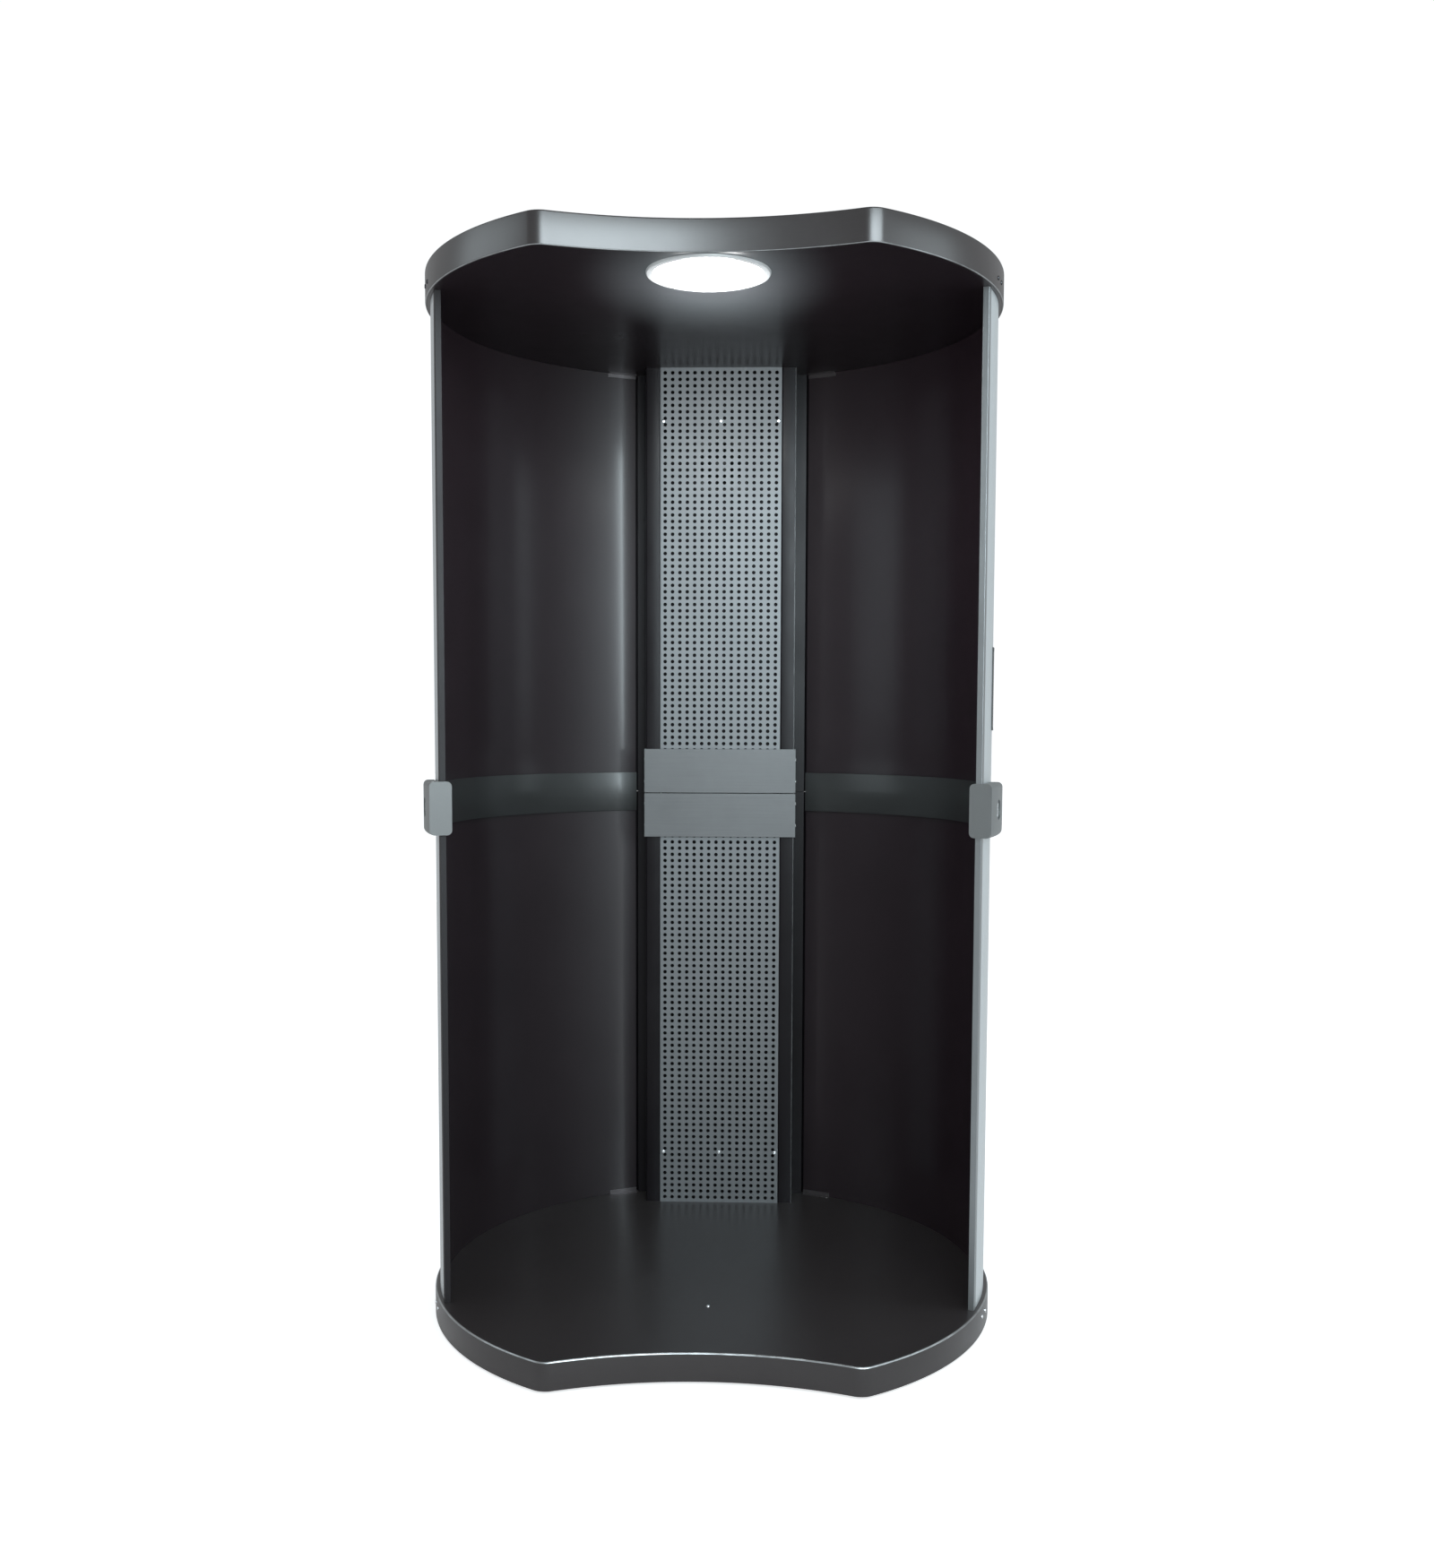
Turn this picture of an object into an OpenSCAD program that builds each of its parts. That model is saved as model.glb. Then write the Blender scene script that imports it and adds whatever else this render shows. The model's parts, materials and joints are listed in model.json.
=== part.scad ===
// Round standing photo booth that comes apart into a lower and an upper half.
// The booth stands on z = 0, its open front faces -Y, and the origin is at the middle of its outline.
// Angles are measured around the booth's upright axis: 0 at the open front, growing to the right.

/* [Overall] */
// Radius of the round outline of the base and the cap
rim_r = 585; // [488:1:702]
// Height of the base, from the ground to the floor
base_h = 60; // [50:1:80]
// Height of the cap, from the ceiling to the top
cap_h = 60; // [50:1:80]
// Height of the walls in one half
half_h = 1000; // [800:1:1200]

/* [Front cut] */
// How far the curved front cut goes into the round outline
front_cut_depth = 137; // [110:1:170]
// Radius of the front cut
front_cut_r = 777; // [640:1:935]
// Rounding of the two front corners
corner_r = 39; // [20:1:50]

/* [Sheet and frames] */
// Thickness of the folded shells of the base and the cap
shell_t = 3; // [2:0.5:5]
// Height of the welded frames inside the base and the cap
frame_h = 40; // [30:1:45]
// Thickness of the frames' metal
frame_t = 4; // [3:0.5:6]
// Width of the frames' channel rails
rail_w = 30; // [24:1:40]
// Distance of the two long rails from the middle
rail_x = 200; // [150:1:240]
// How far the skirt stays off the ground
skirt_lift = 4; // [2:1:8]
// Radius of a rubber foot
foot_r = 28; // [20:1:40]

/* [Walls] */
// Ledge of the base that shows outside the walls
ledge = 10; // [6:1:16]
// Thickness of the pale outer skin
skin_t = 2; // [1:0.5:4]
// Thickness of the black inner board
board_t = 7; // [5:0.5:12]
// Angle of the walls' front edges
wall_front_a = 67.2; // [58:0.1:78]
// Open gap between the boards of the two halves
seam_gap = 0.5; // [0.2:0.1:2]
// Thickness of the metal trim on the walls' front edges
trim_t = 1.5; // [1:0.1:3]
// How far the trim reaches back along the wall
trim_reach = 14; // [8:1:24]

/* [Spine] */
// Width of the perforated panel
panel_w = 287; // [230:1:345]
// Thickness of the perforated panel and the back plate
sheet_t = 2; // [1.5:0.5:3]
// Width of a spine post
post_w = 34; // [26:1:44]
// Depth of a spine post
post_d = 76; // [62:1:92]
// Wall of a spine post
post_t = 2; // [1.5:0.5:4]
// Dark gap between a post and the wall's rear edge
spine_gap = 30.5; // [20:0.5:45]
// How far the panel stands in front of the posts
panel_proud = 3; // [1:0.5:6]
// How far the rear cover laps over the walls
cover_lap = 28; // [15:1:45]
// Thickness of the rear cover
cover_t = 2; // [1:0.5:3]

/* [Joint of the halves] */
// Height of one joint plate
plate_h = 105; // [80:1:130]
// Thickness of a joint plate
plate_t = 3; // [2:0.5:4]
// How far the joint plates stand in front of the posts
plate_proud = 9; // [7:0.5:14]
// Height of a splice band
band_h = 93; // [70:1:115]
// Thickness of a splice band
band_t = 5.5; // [3:0.5:8]
// Radius of an alignment pin
pin_r = 6; // [4:0.5:8]
// How far an alignment pin reaches into each half
pin_reach = 25; // [15:1:40]

/* [Edge clips] */
// Height of an edge clip
clip_h = 106; // [85:1:128]
// Thickness of a clip's outer block
clip_block_t = 22; // [17:1:27]
// Thickness of a clip's front plate
clip_t = 8; // [6:1:12]
// Length of a clip's outer block along the wall
clip_l = 128; // [105:1:155]
// Radius of a clip's quarter-turn knob
knob_r = 17; // [14:1:20]

/* [Light] */
// Outer radius of the light's bezel
light_r = 116; // [90:0.5:130]
// Distance of the light's rim behind the front cut
light_setback = 7; // [5:1:40]
// Drop of the bezel below the ceiling
bezel_drop = 5; // [3:0.5:8]

/* [Delivery slot] */
// Width of the delivery pocket, outside
pocket_w = 54; // [45:1:65]
// Height of the delivery pocket, outside
pocket_h = 160; // [130:1:190]
// Angle of the delivery pocket
pocket_a = 80.7; // [78:0.1:100]
// Height of the middle of the pocket above the joint of the halves
pocket_up = 239; // [190:1:400]

/* [Fan] */
// Side of the square fan frame
fan_w = 120; // [92:1:140]
// Depth of the fan
fan_d = 38; // [25:1:40]
// Distance of the fan's middle below the ceiling
fan_down = 220; // [120:1:300]

/* [Service plate] */
// Height of the middle of the service plate above the floor
service_up = 80; // [60:1:160]

/* [Hidden] */
$fn = 128;

// Clearance between pieces that slide or drop into each other
gap = 0.3;
// Radial clearance of a pin or shaft that turns or slides in a bore
run = 0.08;
// How far a cutting body reaches past the sheet or block that it cuts
through = 20;

// Radii and outline, measured from the booth's axis
skin_r = rim_r - ledge;
board_r = skin_r - skin_t - board_t;
cut_d = rim_r - front_cut_depth + front_cut_r;
corner = meet(rim_r - corner_r, front_cut_r + corner_r);
corner_over = 0.1;
axis_y = -(rim_r + corner.y - corner_r - corner_over) / 2;

// Levels
joint_z = base_h + half_h;
ceiling_z = joint_z + half_h;
wall_h = half_h - seam_gap / 2;
lower_z = base_h;
upper_z = joint_z + seam_gap / 2;

// Spine, measured from the booth's axis
post_x = panel_w / 2;
post_out = post_x + post_w;
rear_x = post_out + spine_gap;
wall_rear_a = 180 - asin(rear_x / board_r);
back_y = sqrt(board_r * board_r - rear_x * rear_x);
back_half_w = rear_x - 5;
post_y = back_y - sheet_t - post_d;
panel_y = post_y - panel_proud;
plate_y = post_y - plate_proud;
lower_plate_z = joint_z - plate_h;
upper_plate_z = joint_z + 1;
cover_r = skin_r + gap;
cover_a = 180 - wall_rear_a + arc_a(cover_lap);
panel_flange = 18;
panel_screw_in = 8;
plate_lip = 28;
plate_screw_back = 14;
plug_h = 60;
pin_taper = 2;
spine_shank_r = 2;
bracket_l = 70;
bracket_leg = 10;
bracket_t = 1.5;
nut_t = 3;
spine_screw_down = 124;
lower_row_z = base_h + spine_screw_down;
upper_row_z = ceiling_z - spine_screw_down;

// Edge clips
clip_slot_r0 = board_r - trim_t - gap;
clip_slot_r1 = skin_r + trim_t + gap;
clip_cheek_t = 10;
clip_r0 = clip_slot_r0 - clip_cheek_t;
clip_r1 = clip_slot_r1 + clip_block_t;
clip_corner_r = 10;
clip_low_r = 30;
clip_high_r = 14;
clip_slot_a = wall_front_a - arc_a(trim_t + gap);
clip_front_a = clip_slot_a - arc_a(clip_t);
clip_rear_a = clip_front_a + arc_a(clip_l);
clip_mid_a = (clip_front_a + clip_rear_a) / 2;
cheek_reach = 16;
cheek_end_a = clip_slot_a + arc_a(cheek_reach);
knob_a = clip_mid_a;
knob_recess = 10;
knob_room = 3;
knob_t = 4;
knob_grip = 8;
knob_grip_h = 5;
knob_edge = 3;
knob_stud_r = 4;
band_front_a = cheek_end_a + arc_a(2);

// Frames, feet and screws
frame_inset = shell_t + gap;
screw_head_r = 4.5;
screw_head_t = 2;
screw_r = 2.5;
rim_screw_l = 10;
floor_screw_l = 12;
rim_screw_angles = [70.6, 74, 110, 146];
base_screw_z = base_h - shell_t - frame_h / 2;
cap_screw_z = ceiling_z + shell_t + frame_h / 2;
foot_share = 0.62;
foot_y = rim_r * foot_share;
foot_pad_share = 0.6;
foot_step = 6;
floor_screw_front = 220;
floor_screw_y = axis_y - floor_screw_front;
base_cross_y = [-floor_screw_front, -axis_y, foot_y];

// Light and its supply
bezel_w = 13.5;
bezel_edge = 3;
diffuser_r = light_r - bezel_w;
housing_step = 4;
housing_r = diffuser_r - housing_step;
light_hole_r = diffuser_r - 2;
housing_h = 40;
fin_slots = 12;
fin_slot_w = 4;
fin_slot_l = 12;
fin_root_h = 10;
light_reach = rim_r - front_cut_depth - light_setback - light_r;
driver_size = [44, 150, 30];
driver_y = -120;
cable_x = -28;
cable_r = 3.5;
lead_hole_r = cable_r + 2;
cable_y = back_y + 11;
connector_r = 9;
connector_h = 30;

// Service plate with the power inlet and the rocker switch
service_w = 120;
service_h = 70;
service_z = base_h + service_up;
service_rest_x = 8;
service_rest_z = 6;
service_depth = 12;
service_y = cover_r + cover_t + gap / 2;
flange_lap = 3;
block_flange_t = 2;
inlet_body = [27, 24, 20];
inlet_well = [23, 16, 15];
switch_x = 30;
switch_body = [24, 18, 30];
rocker_w = 16;
rocker_h = 22;
rocker_t = 7;
rocker_tilt = 8;
rocker_pin_r = 1.5;
rocker_back = 2;
rocker_foot = 6;
rocker_well = 12;
contact_step = 7;
contact_w = 2;
contact_h = 4;
contact_l = 11;

// Delivery pocket
pocket_r = board_r + 2.5;
pocket_t = 2;
pocket_back_t = 1.2;
pocket_flange = 3;
flange_t = 2.5;
flap_t = 1.6;
flap_pin_r = 1.5;
flap_knuckle_r = 2.4;
flap_side_gap = 1;
flap_foot_gap = 1.5;
flap_pin_z = pocket_h / 2 - pocket_t - 4;
flap_pin_x = skin_r - 0.6;
pocket_z = joint_z + pocket_up;

// Fan
fan_z = ceiling_z - fan_down;
fan_edge = 3;
fan_bore_r = fan_w / 2 - fan_edge;
blade_tip_gap = 7;
fan_hub_r = 20;
fan_shaft_r = 2;
fan_y = back_y - sheet_t - fan_d;
fan_strut_t = 5;
louvre_pitch = 16;
louvre_h = 6;
louvre_rows = 3;
strut_w = 6;
hub_gap = 1;
blade_count = 7;
blade_chord = 30;
blade_t = 2;
blade_tilt = 38;
blade_root_r = 10;
rotor_start = 3;
shaft_end = 4;

// Point where a circle of radius a about the axis meets one of radius b about the front cut's centre
function meet(a, b) =
    let (y = (a * a - b * b + cut_d * cut_d) / (2 * cut_d))
    [sqrt(a * a - y * y), -y];
// Angle that a length takes up along the wall's inner board
function arc_a(length) = length / board_r * 180 / PI;

// ---- Helpers ----

module on_side(s) {
    if (s < 0) mirror([1, 0, 0]) children();
    else children();
}

// Places children at the booth's axis
module at_axis(z = 0) {
    translate([0, axis_y, z]) children();
}

// Places children at the axis with local +X pointing outwards at angle a
module radial(a, z) {
    at_axis(z) rotate([0, 0, a - 90]) children();
}

// An upright curved sheet of inner radius r and thickness t, from angle a0 to a1
module arc_shell(r, t, a0, a1, z0, h) {
    radial(a0, z0) rotate_extrude(angle = a1 - a0) translate([r, 0]) square([t, h]);
}

module rounded_rect(w, h, r) {
    translate([r, 0]) square([w - 2 * r, h]);
    translate([0, r]) square([w, h - 2 * r]);
    for (x = [r, w - r], y = [r, h - r]) translate([x, y]) circle(r);
}

// The outline of the base and the cap, moved in by inset; its corners are true arcs that
// stand corner_over proud of the two arcs they join, so that they cross them cleanly
module outline(inset) {
    tip = meet(rim_r - inset, front_cut_r + inset);
    touch_rim = corner * (rim_r - inset) / (rim_r - corner_r);
    cut_c = [0, -cut_d];
    touch_cut = cut_c + (corner - cut_c) * (front_cut_r + inset) / (front_cut_r + corner_r);
    to_tip = tip - corner;
    waste = [corner + to_tip * 0.15, touch_rim, corner + to_tip * 1.5, touch_cut];
    difference() {
        circle(rim_r - inset);
        translate(cut_c) circle(front_cut_r + inset);
        for (s = [-1, 1]) polygon([for (p = waste) [s * p.x, p.y]]);
    }
    for (s = [-1, 1]) translate([s * corner.x, corner.y]) circle(corner_r - inset + corner_over);
}

// Holes through a skirt and the frame behind it, for the rim screws
module rim_screw_holes(z) {
    for (s = [-1, 1], a = rim_screw_angles)
        radial(s * a, z) translate([rim_r - rim_screw_l - 2, 0, 0]) rotate([0, 90, 0])
            cylinder(r = screw_r + run, h = rim_screw_l + 5);
}

module rim_screws(z) {
    for (s = [-1, 1], a = rim_screw_angles)
        radial(s * a, z) translate([rim_r, 0, 0]) rotate([0, 90, 0]) screw(screw_r, rim_screw_l);
}

// A pan-head screw that sits on z = 0 and reaches down from there
module screw(r, length) {
    cylinder(r1 = screw_head_r, r2 = screw_head_r - 1, h = screw_head_t);
    translate([0, 0, -length]) cylinder(r = r, h = length + 0.5);
}

// A welded frame: a rim that follows the skirt, with channel rails across it
module rim_frame(z0, cross_y) {
    at_axis(z0) linear_extrude(frame_h) difference() {
        outline(frame_inset);
        outline(frame_inset + frame_t);
    }
    at_axis(z0) difference() {
        linear_extrude(frame_h) intersection() {
            outline(frame_inset + frame_t / 2);
            rails(cross_y, rail_w);
        }
        translate([0, 0, -1]) linear_extrude(frame_h - frame_t + 1) intersection() {
            outline(frame_inset + frame_t);
            rails(cross_y, rail_w - 2 * frame_t);
        }
    }
}

module rails(cross_y, w) {
    for (s = [-1, 1]) translate([s * rail_x - w / 2, -rim_r]) square([w, 2 * rim_r]);
    for (y = cross_y) translate([-rail_x, y - w / 2]) square([2 * rail_x, w]);
}

// ---- Base ----

module base_shell() {
    color("#3a3c3e") difference() {
        at_axis(skirt_lift) linear_extrude(base_h - skirt_lift) outline(0);
        at_axis(-1) linear_extrude(base_h - shell_t + 1) outline(shell_t);
        rim_screw_holes(base_screw_z);
        translate([0, floor_screw_y, 0]) cylinder(r = screw_r + run, h = base_h + 1);
    }
}

module base_frame() {
    color("dimgray") difference() {
        rim_frame(base_h - shell_t - frame_h, base_cross_y);
        rim_screw_holes(base_screw_z);
        translate([0, floor_screw_y, 0]) cylinder(r = screw_r + run, h = base_h);
    }
}

module feet() {
    foot_h = base_h - shell_t - frame_h;
    color("#1c1c1c") {
        for (x = [-rail_x, rail_x], y = [-foot_y, 0, foot_y]) at_axis()
            translate([x, y, 0]) foot(foot_h);
        foot(foot_h);
    }
}

module foot(h) {
    cylinder(r = foot_r, h = h * foot_pad_share);
    cylinder(r = foot_r - foot_step, h = h);
}

module base_screws() {
    color("silver") {
        rim_screws(base_screw_z);
        translate([0, floor_screw_y, base_h]) screw(screw_r, floor_screw_l);
    }
}

// ---- Cap and ceiling ----

module cap_shell() {
    color("#4a5054") difference() {
        at_axis(ceiling_z) linear_extrude(cap_h) outline(0);
        at_axis(ceiling_z - 1) linear_extrude(cap_h - shell_t + 1) outline(shell_t);
        rim_screw_holes(cap_screw_z);
    }
}

module cap_frame() {
    color("dimgray") difference() {
        rim_frame(ceiling_z + shell_t, []);
        rim_screw_holes(cap_screw_z);
    }
}

module ceiling_panel() {
    color("#232427") difference() {
        at_axis(ceiling_z) linear_extrude(shell_t) outline(shell_t + gap);
        light_at(ceiling_z - 1) cylinder(r = light_hole_r, h = shell_t + 2);
        at_axis(ceiling_z - 1) translate([cable_x, cable_y, 0]) cylinder(r = lead_hole_r, h = shell_t + 2);
    }
}

module cap_screws() {
    color("#222222") rim_screws(cap_screw_z);
}

module light_at(z) {
    at_axis(z) translate([0, -light_reach, 0]) children();
}

module light_bezel() {
    color("whitesmoke") light_at(ceiling_z - bezel_drop) rotate_extrude() polygon([
        [diffuser_r + gap, 0],
        [light_r - bezel_edge, 0],
        [light_r, bezel_edge],
        [light_r, bezel_drop],
        [diffuser_r + gap, bezel_drop]
    ]);
}

module light_diffuser() {
    color("white") light_at(ceiling_z - bezel_drop + 1) cylinder(r = diffuser_r, h = bezel_drop - 1);
}

module light_housing() {
    color("silver") light_at(ceiling_z) difference() {
        cylinder(r = housing_r, h = housing_h);
        for (i = [0:fin_slots - 1]) rotate([0, 0, i * 360 / fin_slots])
            translate([housing_r - fin_slot_l, -fin_slot_w / 2, fin_root_h])
                cube([fin_slot_l + 2, fin_slot_w, housing_h]);
    }
}

module led_driver() {
    lead_z = shell_t + driver_size.z / 2;
    lead_l = light_reach - sqrt(housing_r * housing_r - cable_x * cable_x) - 1 + driver_y;
    color("whitesmoke") at_axis(ceiling_z) {
        translate([cable_x - driver_size.x / 2, driver_y, shell_t]) cube(driver_size);
        translate([cable_x, driver_y, lead_z]) rotate([90, 0, 0]) cylinder(r = cable_r, h = lead_l);
    }
}

// ---- Walls ----

module wall_board(s, z0, cut) {
    color("#26282b") difference() {
        on_side(s) arc_shell(board_r, board_t, wall_front_a, wall_rear_a, z0, wall_h);
        if (cut) pocket_cut();
    }
}

module wall_skin(s, z0, cut) {
    color("#c9d1d6") difference() {
        on_side(s) arc_shell(board_r + board_t, skin_t, wall_front_a, wall_rear_a, z0, wall_h);
        if (cut) pocket_cut();
    }
}

module wall_trim(s, z0) {
    front = wall_front_a - arc_a(trim_t);
    rear = front + arc_a(trim_reach);
    wall_t = skin_r - board_r;
    color("lightsteelblue") on_side(s) difference() {
        arc_shell(board_r - trim_t, wall_t + 2 * trim_t, front, rear, z0, wall_h);
        arc_shell(board_r, wall_t, wall_front_a, rear + 1, z0 - 1, wall_h + 2);
    }
}

module lower_left_wall() { wall_board(-1, lower_z, false); }
module lower_right_wall() { wall_board(1, lower_z, false); }
module lower_left_skin() { wall_skin(-1, lower_z, false); }
module lower_right_skin() { wall_skin(1, lower_z, false); }
module lower_left_trim() { wall_trim(-1, lower_z); }
module lower_right_trim() { wall_trim(1, lower_z); }
module upper_left_wall() { wall_board(-1, upper_z, false); }
module upper_right_wall() { wall_board(1, upper_z, true); }
module upper_left_skin() { wall_skin(-1, upper_z, false); }
module upper_right_skin() { wall_skin(1, upper_z, true); }
module upper_left_trim() { wall_trim(-1, upper_z); }
module upper_right_trim() { wall_trim(1, upper_z); }

// ---- Spine ----

// A hole for a spine screw, down through a sheet of thickness t whose face is at z = 0
module spine_hole(t) {
    translate([0, 0, -t - 1]) cylinder(r = spine_shank_r + run, h = t + 2);
}

// Places of a joint plate's side screws, on the plate's outer face
module plate_screw_spots(z0) {
    for (s = [-1, 1], z = [plate_h * 0.25, plate_h * 0.75]) on_side(s) at_axis(z0 + z)
        translate([post_out + plate_t, post_y + plate_screw_back, 0]) rotate([0, 90, 0]) children();
}

module spine_post(s, z0, plate_z0) {
    color("#3b3940") difference() {
        on_side(s) at_axis(z0) difference() {
            translate([post_x, post_y, 0]) cube([post_w, post_d, half_h]);
            translate([post_x + post_t, post_y + post_t, -1])
                cube([post_w - 2 * post_t, post_d - 2 * post_t, half_h + 2]);
        }
        plate_screw_spots(plate_z0) spine_hole(plate_t + post_t);
    }
}

module lower_left_post() { spine_post(-1, base_h, lower_plate_z); }
module lower_right_post() { spine_post(1, base_h, lower_plate_z); }
module upper_left_post() { spine_post(-1, joint_z, upper_plate_z); }
module upper_right_post() { spine_post(1, joint_z, upper_plate_z); }

module back_plate(z0) {
    color("#1e1e20") at_axis(z0)
        translate([-back_half_w, back_y - sheet_t, 0]) cube([2 * back_half_w, sheet_t, half_h]);
}

module lower_back_plate() { back_plate(base_h); }

module upper_back_plate() {
    difference() {
        back_plate(joint_z);
        at_axis(fan_z) translate([0, back_y - sheet_t - 1, 0]) rotate([-90, 0, 0])
            cylinder(r = fan_bore_r, h = sheet_t + 2);
    }
}

module panel_screw_spots(z) {
    for (x = [-1, 0, 1]) at_axis(z) translate([x * (post_x - panel_screw_in), panel_y, 0])
        rotate([90, 0, 0]) children();
}

module perforated_panel(z0, row_z) {
    color("#8d9498") difference() {
        at_axis(z0) {
            translate([-post_x, panel_y, 0]) cube([panel_w, sheet_t, half_h - 1]);
            for (s = [-1, 1]) on_side(s)
                translate([post_x - sheet_t, panel_y, 0]) cube([sheet_t, panel_flange, half_h - 1]);
        }
        panel_screw_spots(row_z) spine_hole(sheet_t);
    }
}

module lower_perforated_panel() { perforated_panel(base_h, lower_row_z); }
module upper_perforated_panel() { perforated_panel(joint_z + 1, upper_row_z); }

module joint_plate(z0) {
    outer = post_out + plate_t;
    color("#787c7e") difference() {
        at_axis(z0) {
            translate([-outer, plate_y, 0]) cube([2 * outer, plate_t, plate_h - 1]);
            for (s = [-1, 1]) on_side(s)
                translate([post_out, plate_y, 0]) cube([plate_t, plate_proud + plate_lip, plate_h - 1]);
        }
        plate_screw_spots(z0) spine_hole(plate_t);
    }
}

module lower_joint_plate() { joint_plate(lower_plate_z); }

module upper_joint_plate() { joint_plate(upper_plate_z); }

// Screws of the perforated panel, with their nuts, and the side screws of the joint plate
module spine_screws(row_z, plate_z0) {
    color("silver") {
        panel_screw_spots(row_z) {
            screw(spine_shank_r, sheet_t + 1);
            translate([0, 0, -sheet_t - nut_t]) cylinder(r = spine_shank_r * 1.8, h = nut_t, $fn = 6);
        }
        plate_screw_spots(plate_z0) screw(spine_shank_r, plate_t + post_t);
    }
}

module lower_spine_screws() { spine_screws(lower_row_z, lower_plate_z); }
module upper_spine_screws() { spine_screws(upper_row_z, upper_plate_z); }

// Blocks in the posts' ends that hold and take the alignment pins
module post_plugs(z0, bore_z, bore_r) {
    color("black") for (s = [-1, 1]) on_side(s) at_axis() difference() {
        translate([post_x + post_t + gap, post_y + post_t + gap, z0])
            cube([post_w - 2 * (post_t + gap), post_d - 2 * (post_t + gap), plug_h]);
        translate([post_x + post_w / 2, post_y + post_d / 2, bore_z])
            cylinder(r = bore_r, h = pin_reach + 2);
    }
}

module lower_post_plugs() { post_plugs(joint_z - plug_h, joint_z - pin_reach, pin_r); }
module upper_post_plugs() { post_plugs(joint_z, joint_z - 1, pin_r + run); }

module alignment_pins() {
    color("silver") for (s = [-1, 1]) on_side(s) at_axis()
        translate([post_x + post_w / 2, post_y + post_d / 2, joint_z - pin_reach]) {
            cylinder(r = pin_r, h = 2 * pin_reach - pin_taper - 1);
            translate([0, 0, 2 * pin_reach - pin_taper - 1])
                cylinder(r1 = pin_r, r2 = pin_r - pin_taper, h = pin_taper);
        }
}

module rear_cover(z0) {
    color("#c9d1d6") arc_shell(cover_r, cover_t, 180 - cover_a, 180 + cover_a, z0, wall_h);
}

module lower_rear_cover() {
    difference() {
        rear_cover(lower_z);
        at_axis(service_z)
            translate([service_rest_x - service_w / 2, cover_r - through, service_rest_z - service_h / 2])
                cube([service_w - 2 * service_rest_x, 2 * through, service_h - 2 * service_rest_z]);
    }
}

module upper_rear_cover() {
    difference() {
        rear_cover(upper_z);
        for (i = [-louvre_rows:louvre_rows]) at_axis(fan_z + i * louvre_pitch)
            translate([-fan_w / 2, cover_r - through, -louvre_h / 2])
                cube([fan_w, 2 * through, louvre_h]);
    }
}

// Small angle brackets between the walls and the ceiling or the floor
module brackets(z, up) {
    r = board_r - gap;
    a0 = wall_rear_a - arc_a(bracket_l);
    color("silver") for (s = [-1, 1]) on_side(s) {
        arc_shell(r - bracket_t, bracket_t, a0, wall_rear_a, up > 0 ? z : z - bracket_leg, bracket_leg);
        arc_shell(r - bracket_leg, bracket_leg, a0, wall_rear_a, up > 0 ? z : z - bracket_t, bracket_t);
    }
}

module lower_brackets() { brackets(base_h, 1); }
module upper_brackets() { brackets(ceiling_z, -1); }

// ---- Joint of the halves ----

// A band carried by the upper wall that reaches down inside the lower wall
module splice_band(s) {
    half = band_h / 2;
    color("#33363a") on_side(s) {
        arc_shell(board_r - band_t, band_t, band_front_a, wall_rear_a, upper_z, half);
        arc_shell(board_r - band_t, band_t - gap, band_front_a, wall_rear_a, upper_z - half, half + 1);
    }
}

module left_splice_band() { splice_band(-1); }
module right_splice_band() { splice_band(1); }

// The clip's block seen from outside, its rear towards +X: the rear corners are rounded
module clip_side(s) {
    rear = clip_l / 2;
    front = rear + through;
    difference() {
        translate([s > 0 ? -front : -rear, -clip_h / 2]) square([front + rear, clip_h]);
        translate([s * (rear - clip_low_r), clip_low_r - clip_h / 2]) corner_waste(s, -1, clip_low_r);
        translate([s * (rear - clip_high_r), clip_h / 2 - clip_high_r]) corner_waste(s, 1, clip_high_r);
    }
}

// What a rounding of radius r about the origin cuts off the corner on side s, up or down
module corner_waste(s, up, r) {
    difference() {
        translate([s > 0 ? 0 : -r - 1, up > 0 ? 0 : -r - 1]) square(r + 1);
        circle(r - 0.02);
    }
}

// A curved sheet on side s, between the angles a0 and a1 as they are counted on that side
module clip_sector(s, r0, r1, a0, a1, z0, h) {
    arc_shell(r0, r1 - r0, s > 0 ? a0 : -a1, s > 0 ? a1 : -a0, z0, h);
}

module edge_clip(s) {
    depth = clip_r1 - clip_r0;
    past_a = clip_rear_a + 1;
    slot_z = joint_z - clip_h;
    color("#8f9494") difference() {
        intersection() {
            radial(s > 0 ? clip_front_a : -clip_rear_a, joint_z - clip_h / 2)
                rotate_extrude(angle = clip_rear_a - clip_front_a)
                    translate([clip_r0, 0]) rounded_rect(depth, clip_h, clip_corner_r);
            radial(s * clip_mid_a, joint_z) translate([clip_r0 - through, 0, 0]) rotate([90, 0, 90])
                linear_extrude(depth + 2 * through) clip_side(s);
        }
        clip_sector(s, clip_slot_r0, clip_slot_r1, clip_slot_a, past_a, slot_z, 2 * clip_h);
        clip_sector(s, clip_r0 - 1, clip_slot_r1, cheek_end_a, past_a, slot_z, 2 * clip_h);
        radial(s * knob_a, joint_z) rotate([0, 90, 0]) {
            translate([0, 0, clip_r1 - knob_recess]) cylinder(r = knob_r + knob_room, h = knob_recess + 5);
            translate([0, 0, clip_r0]) cylinder(r = knob_stud_r + run, h = depth);
        }
    }
}

module left_edge_clip() { edge_clip(-1); }
module right_edge_clip() { edge_clip(1); }

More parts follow.
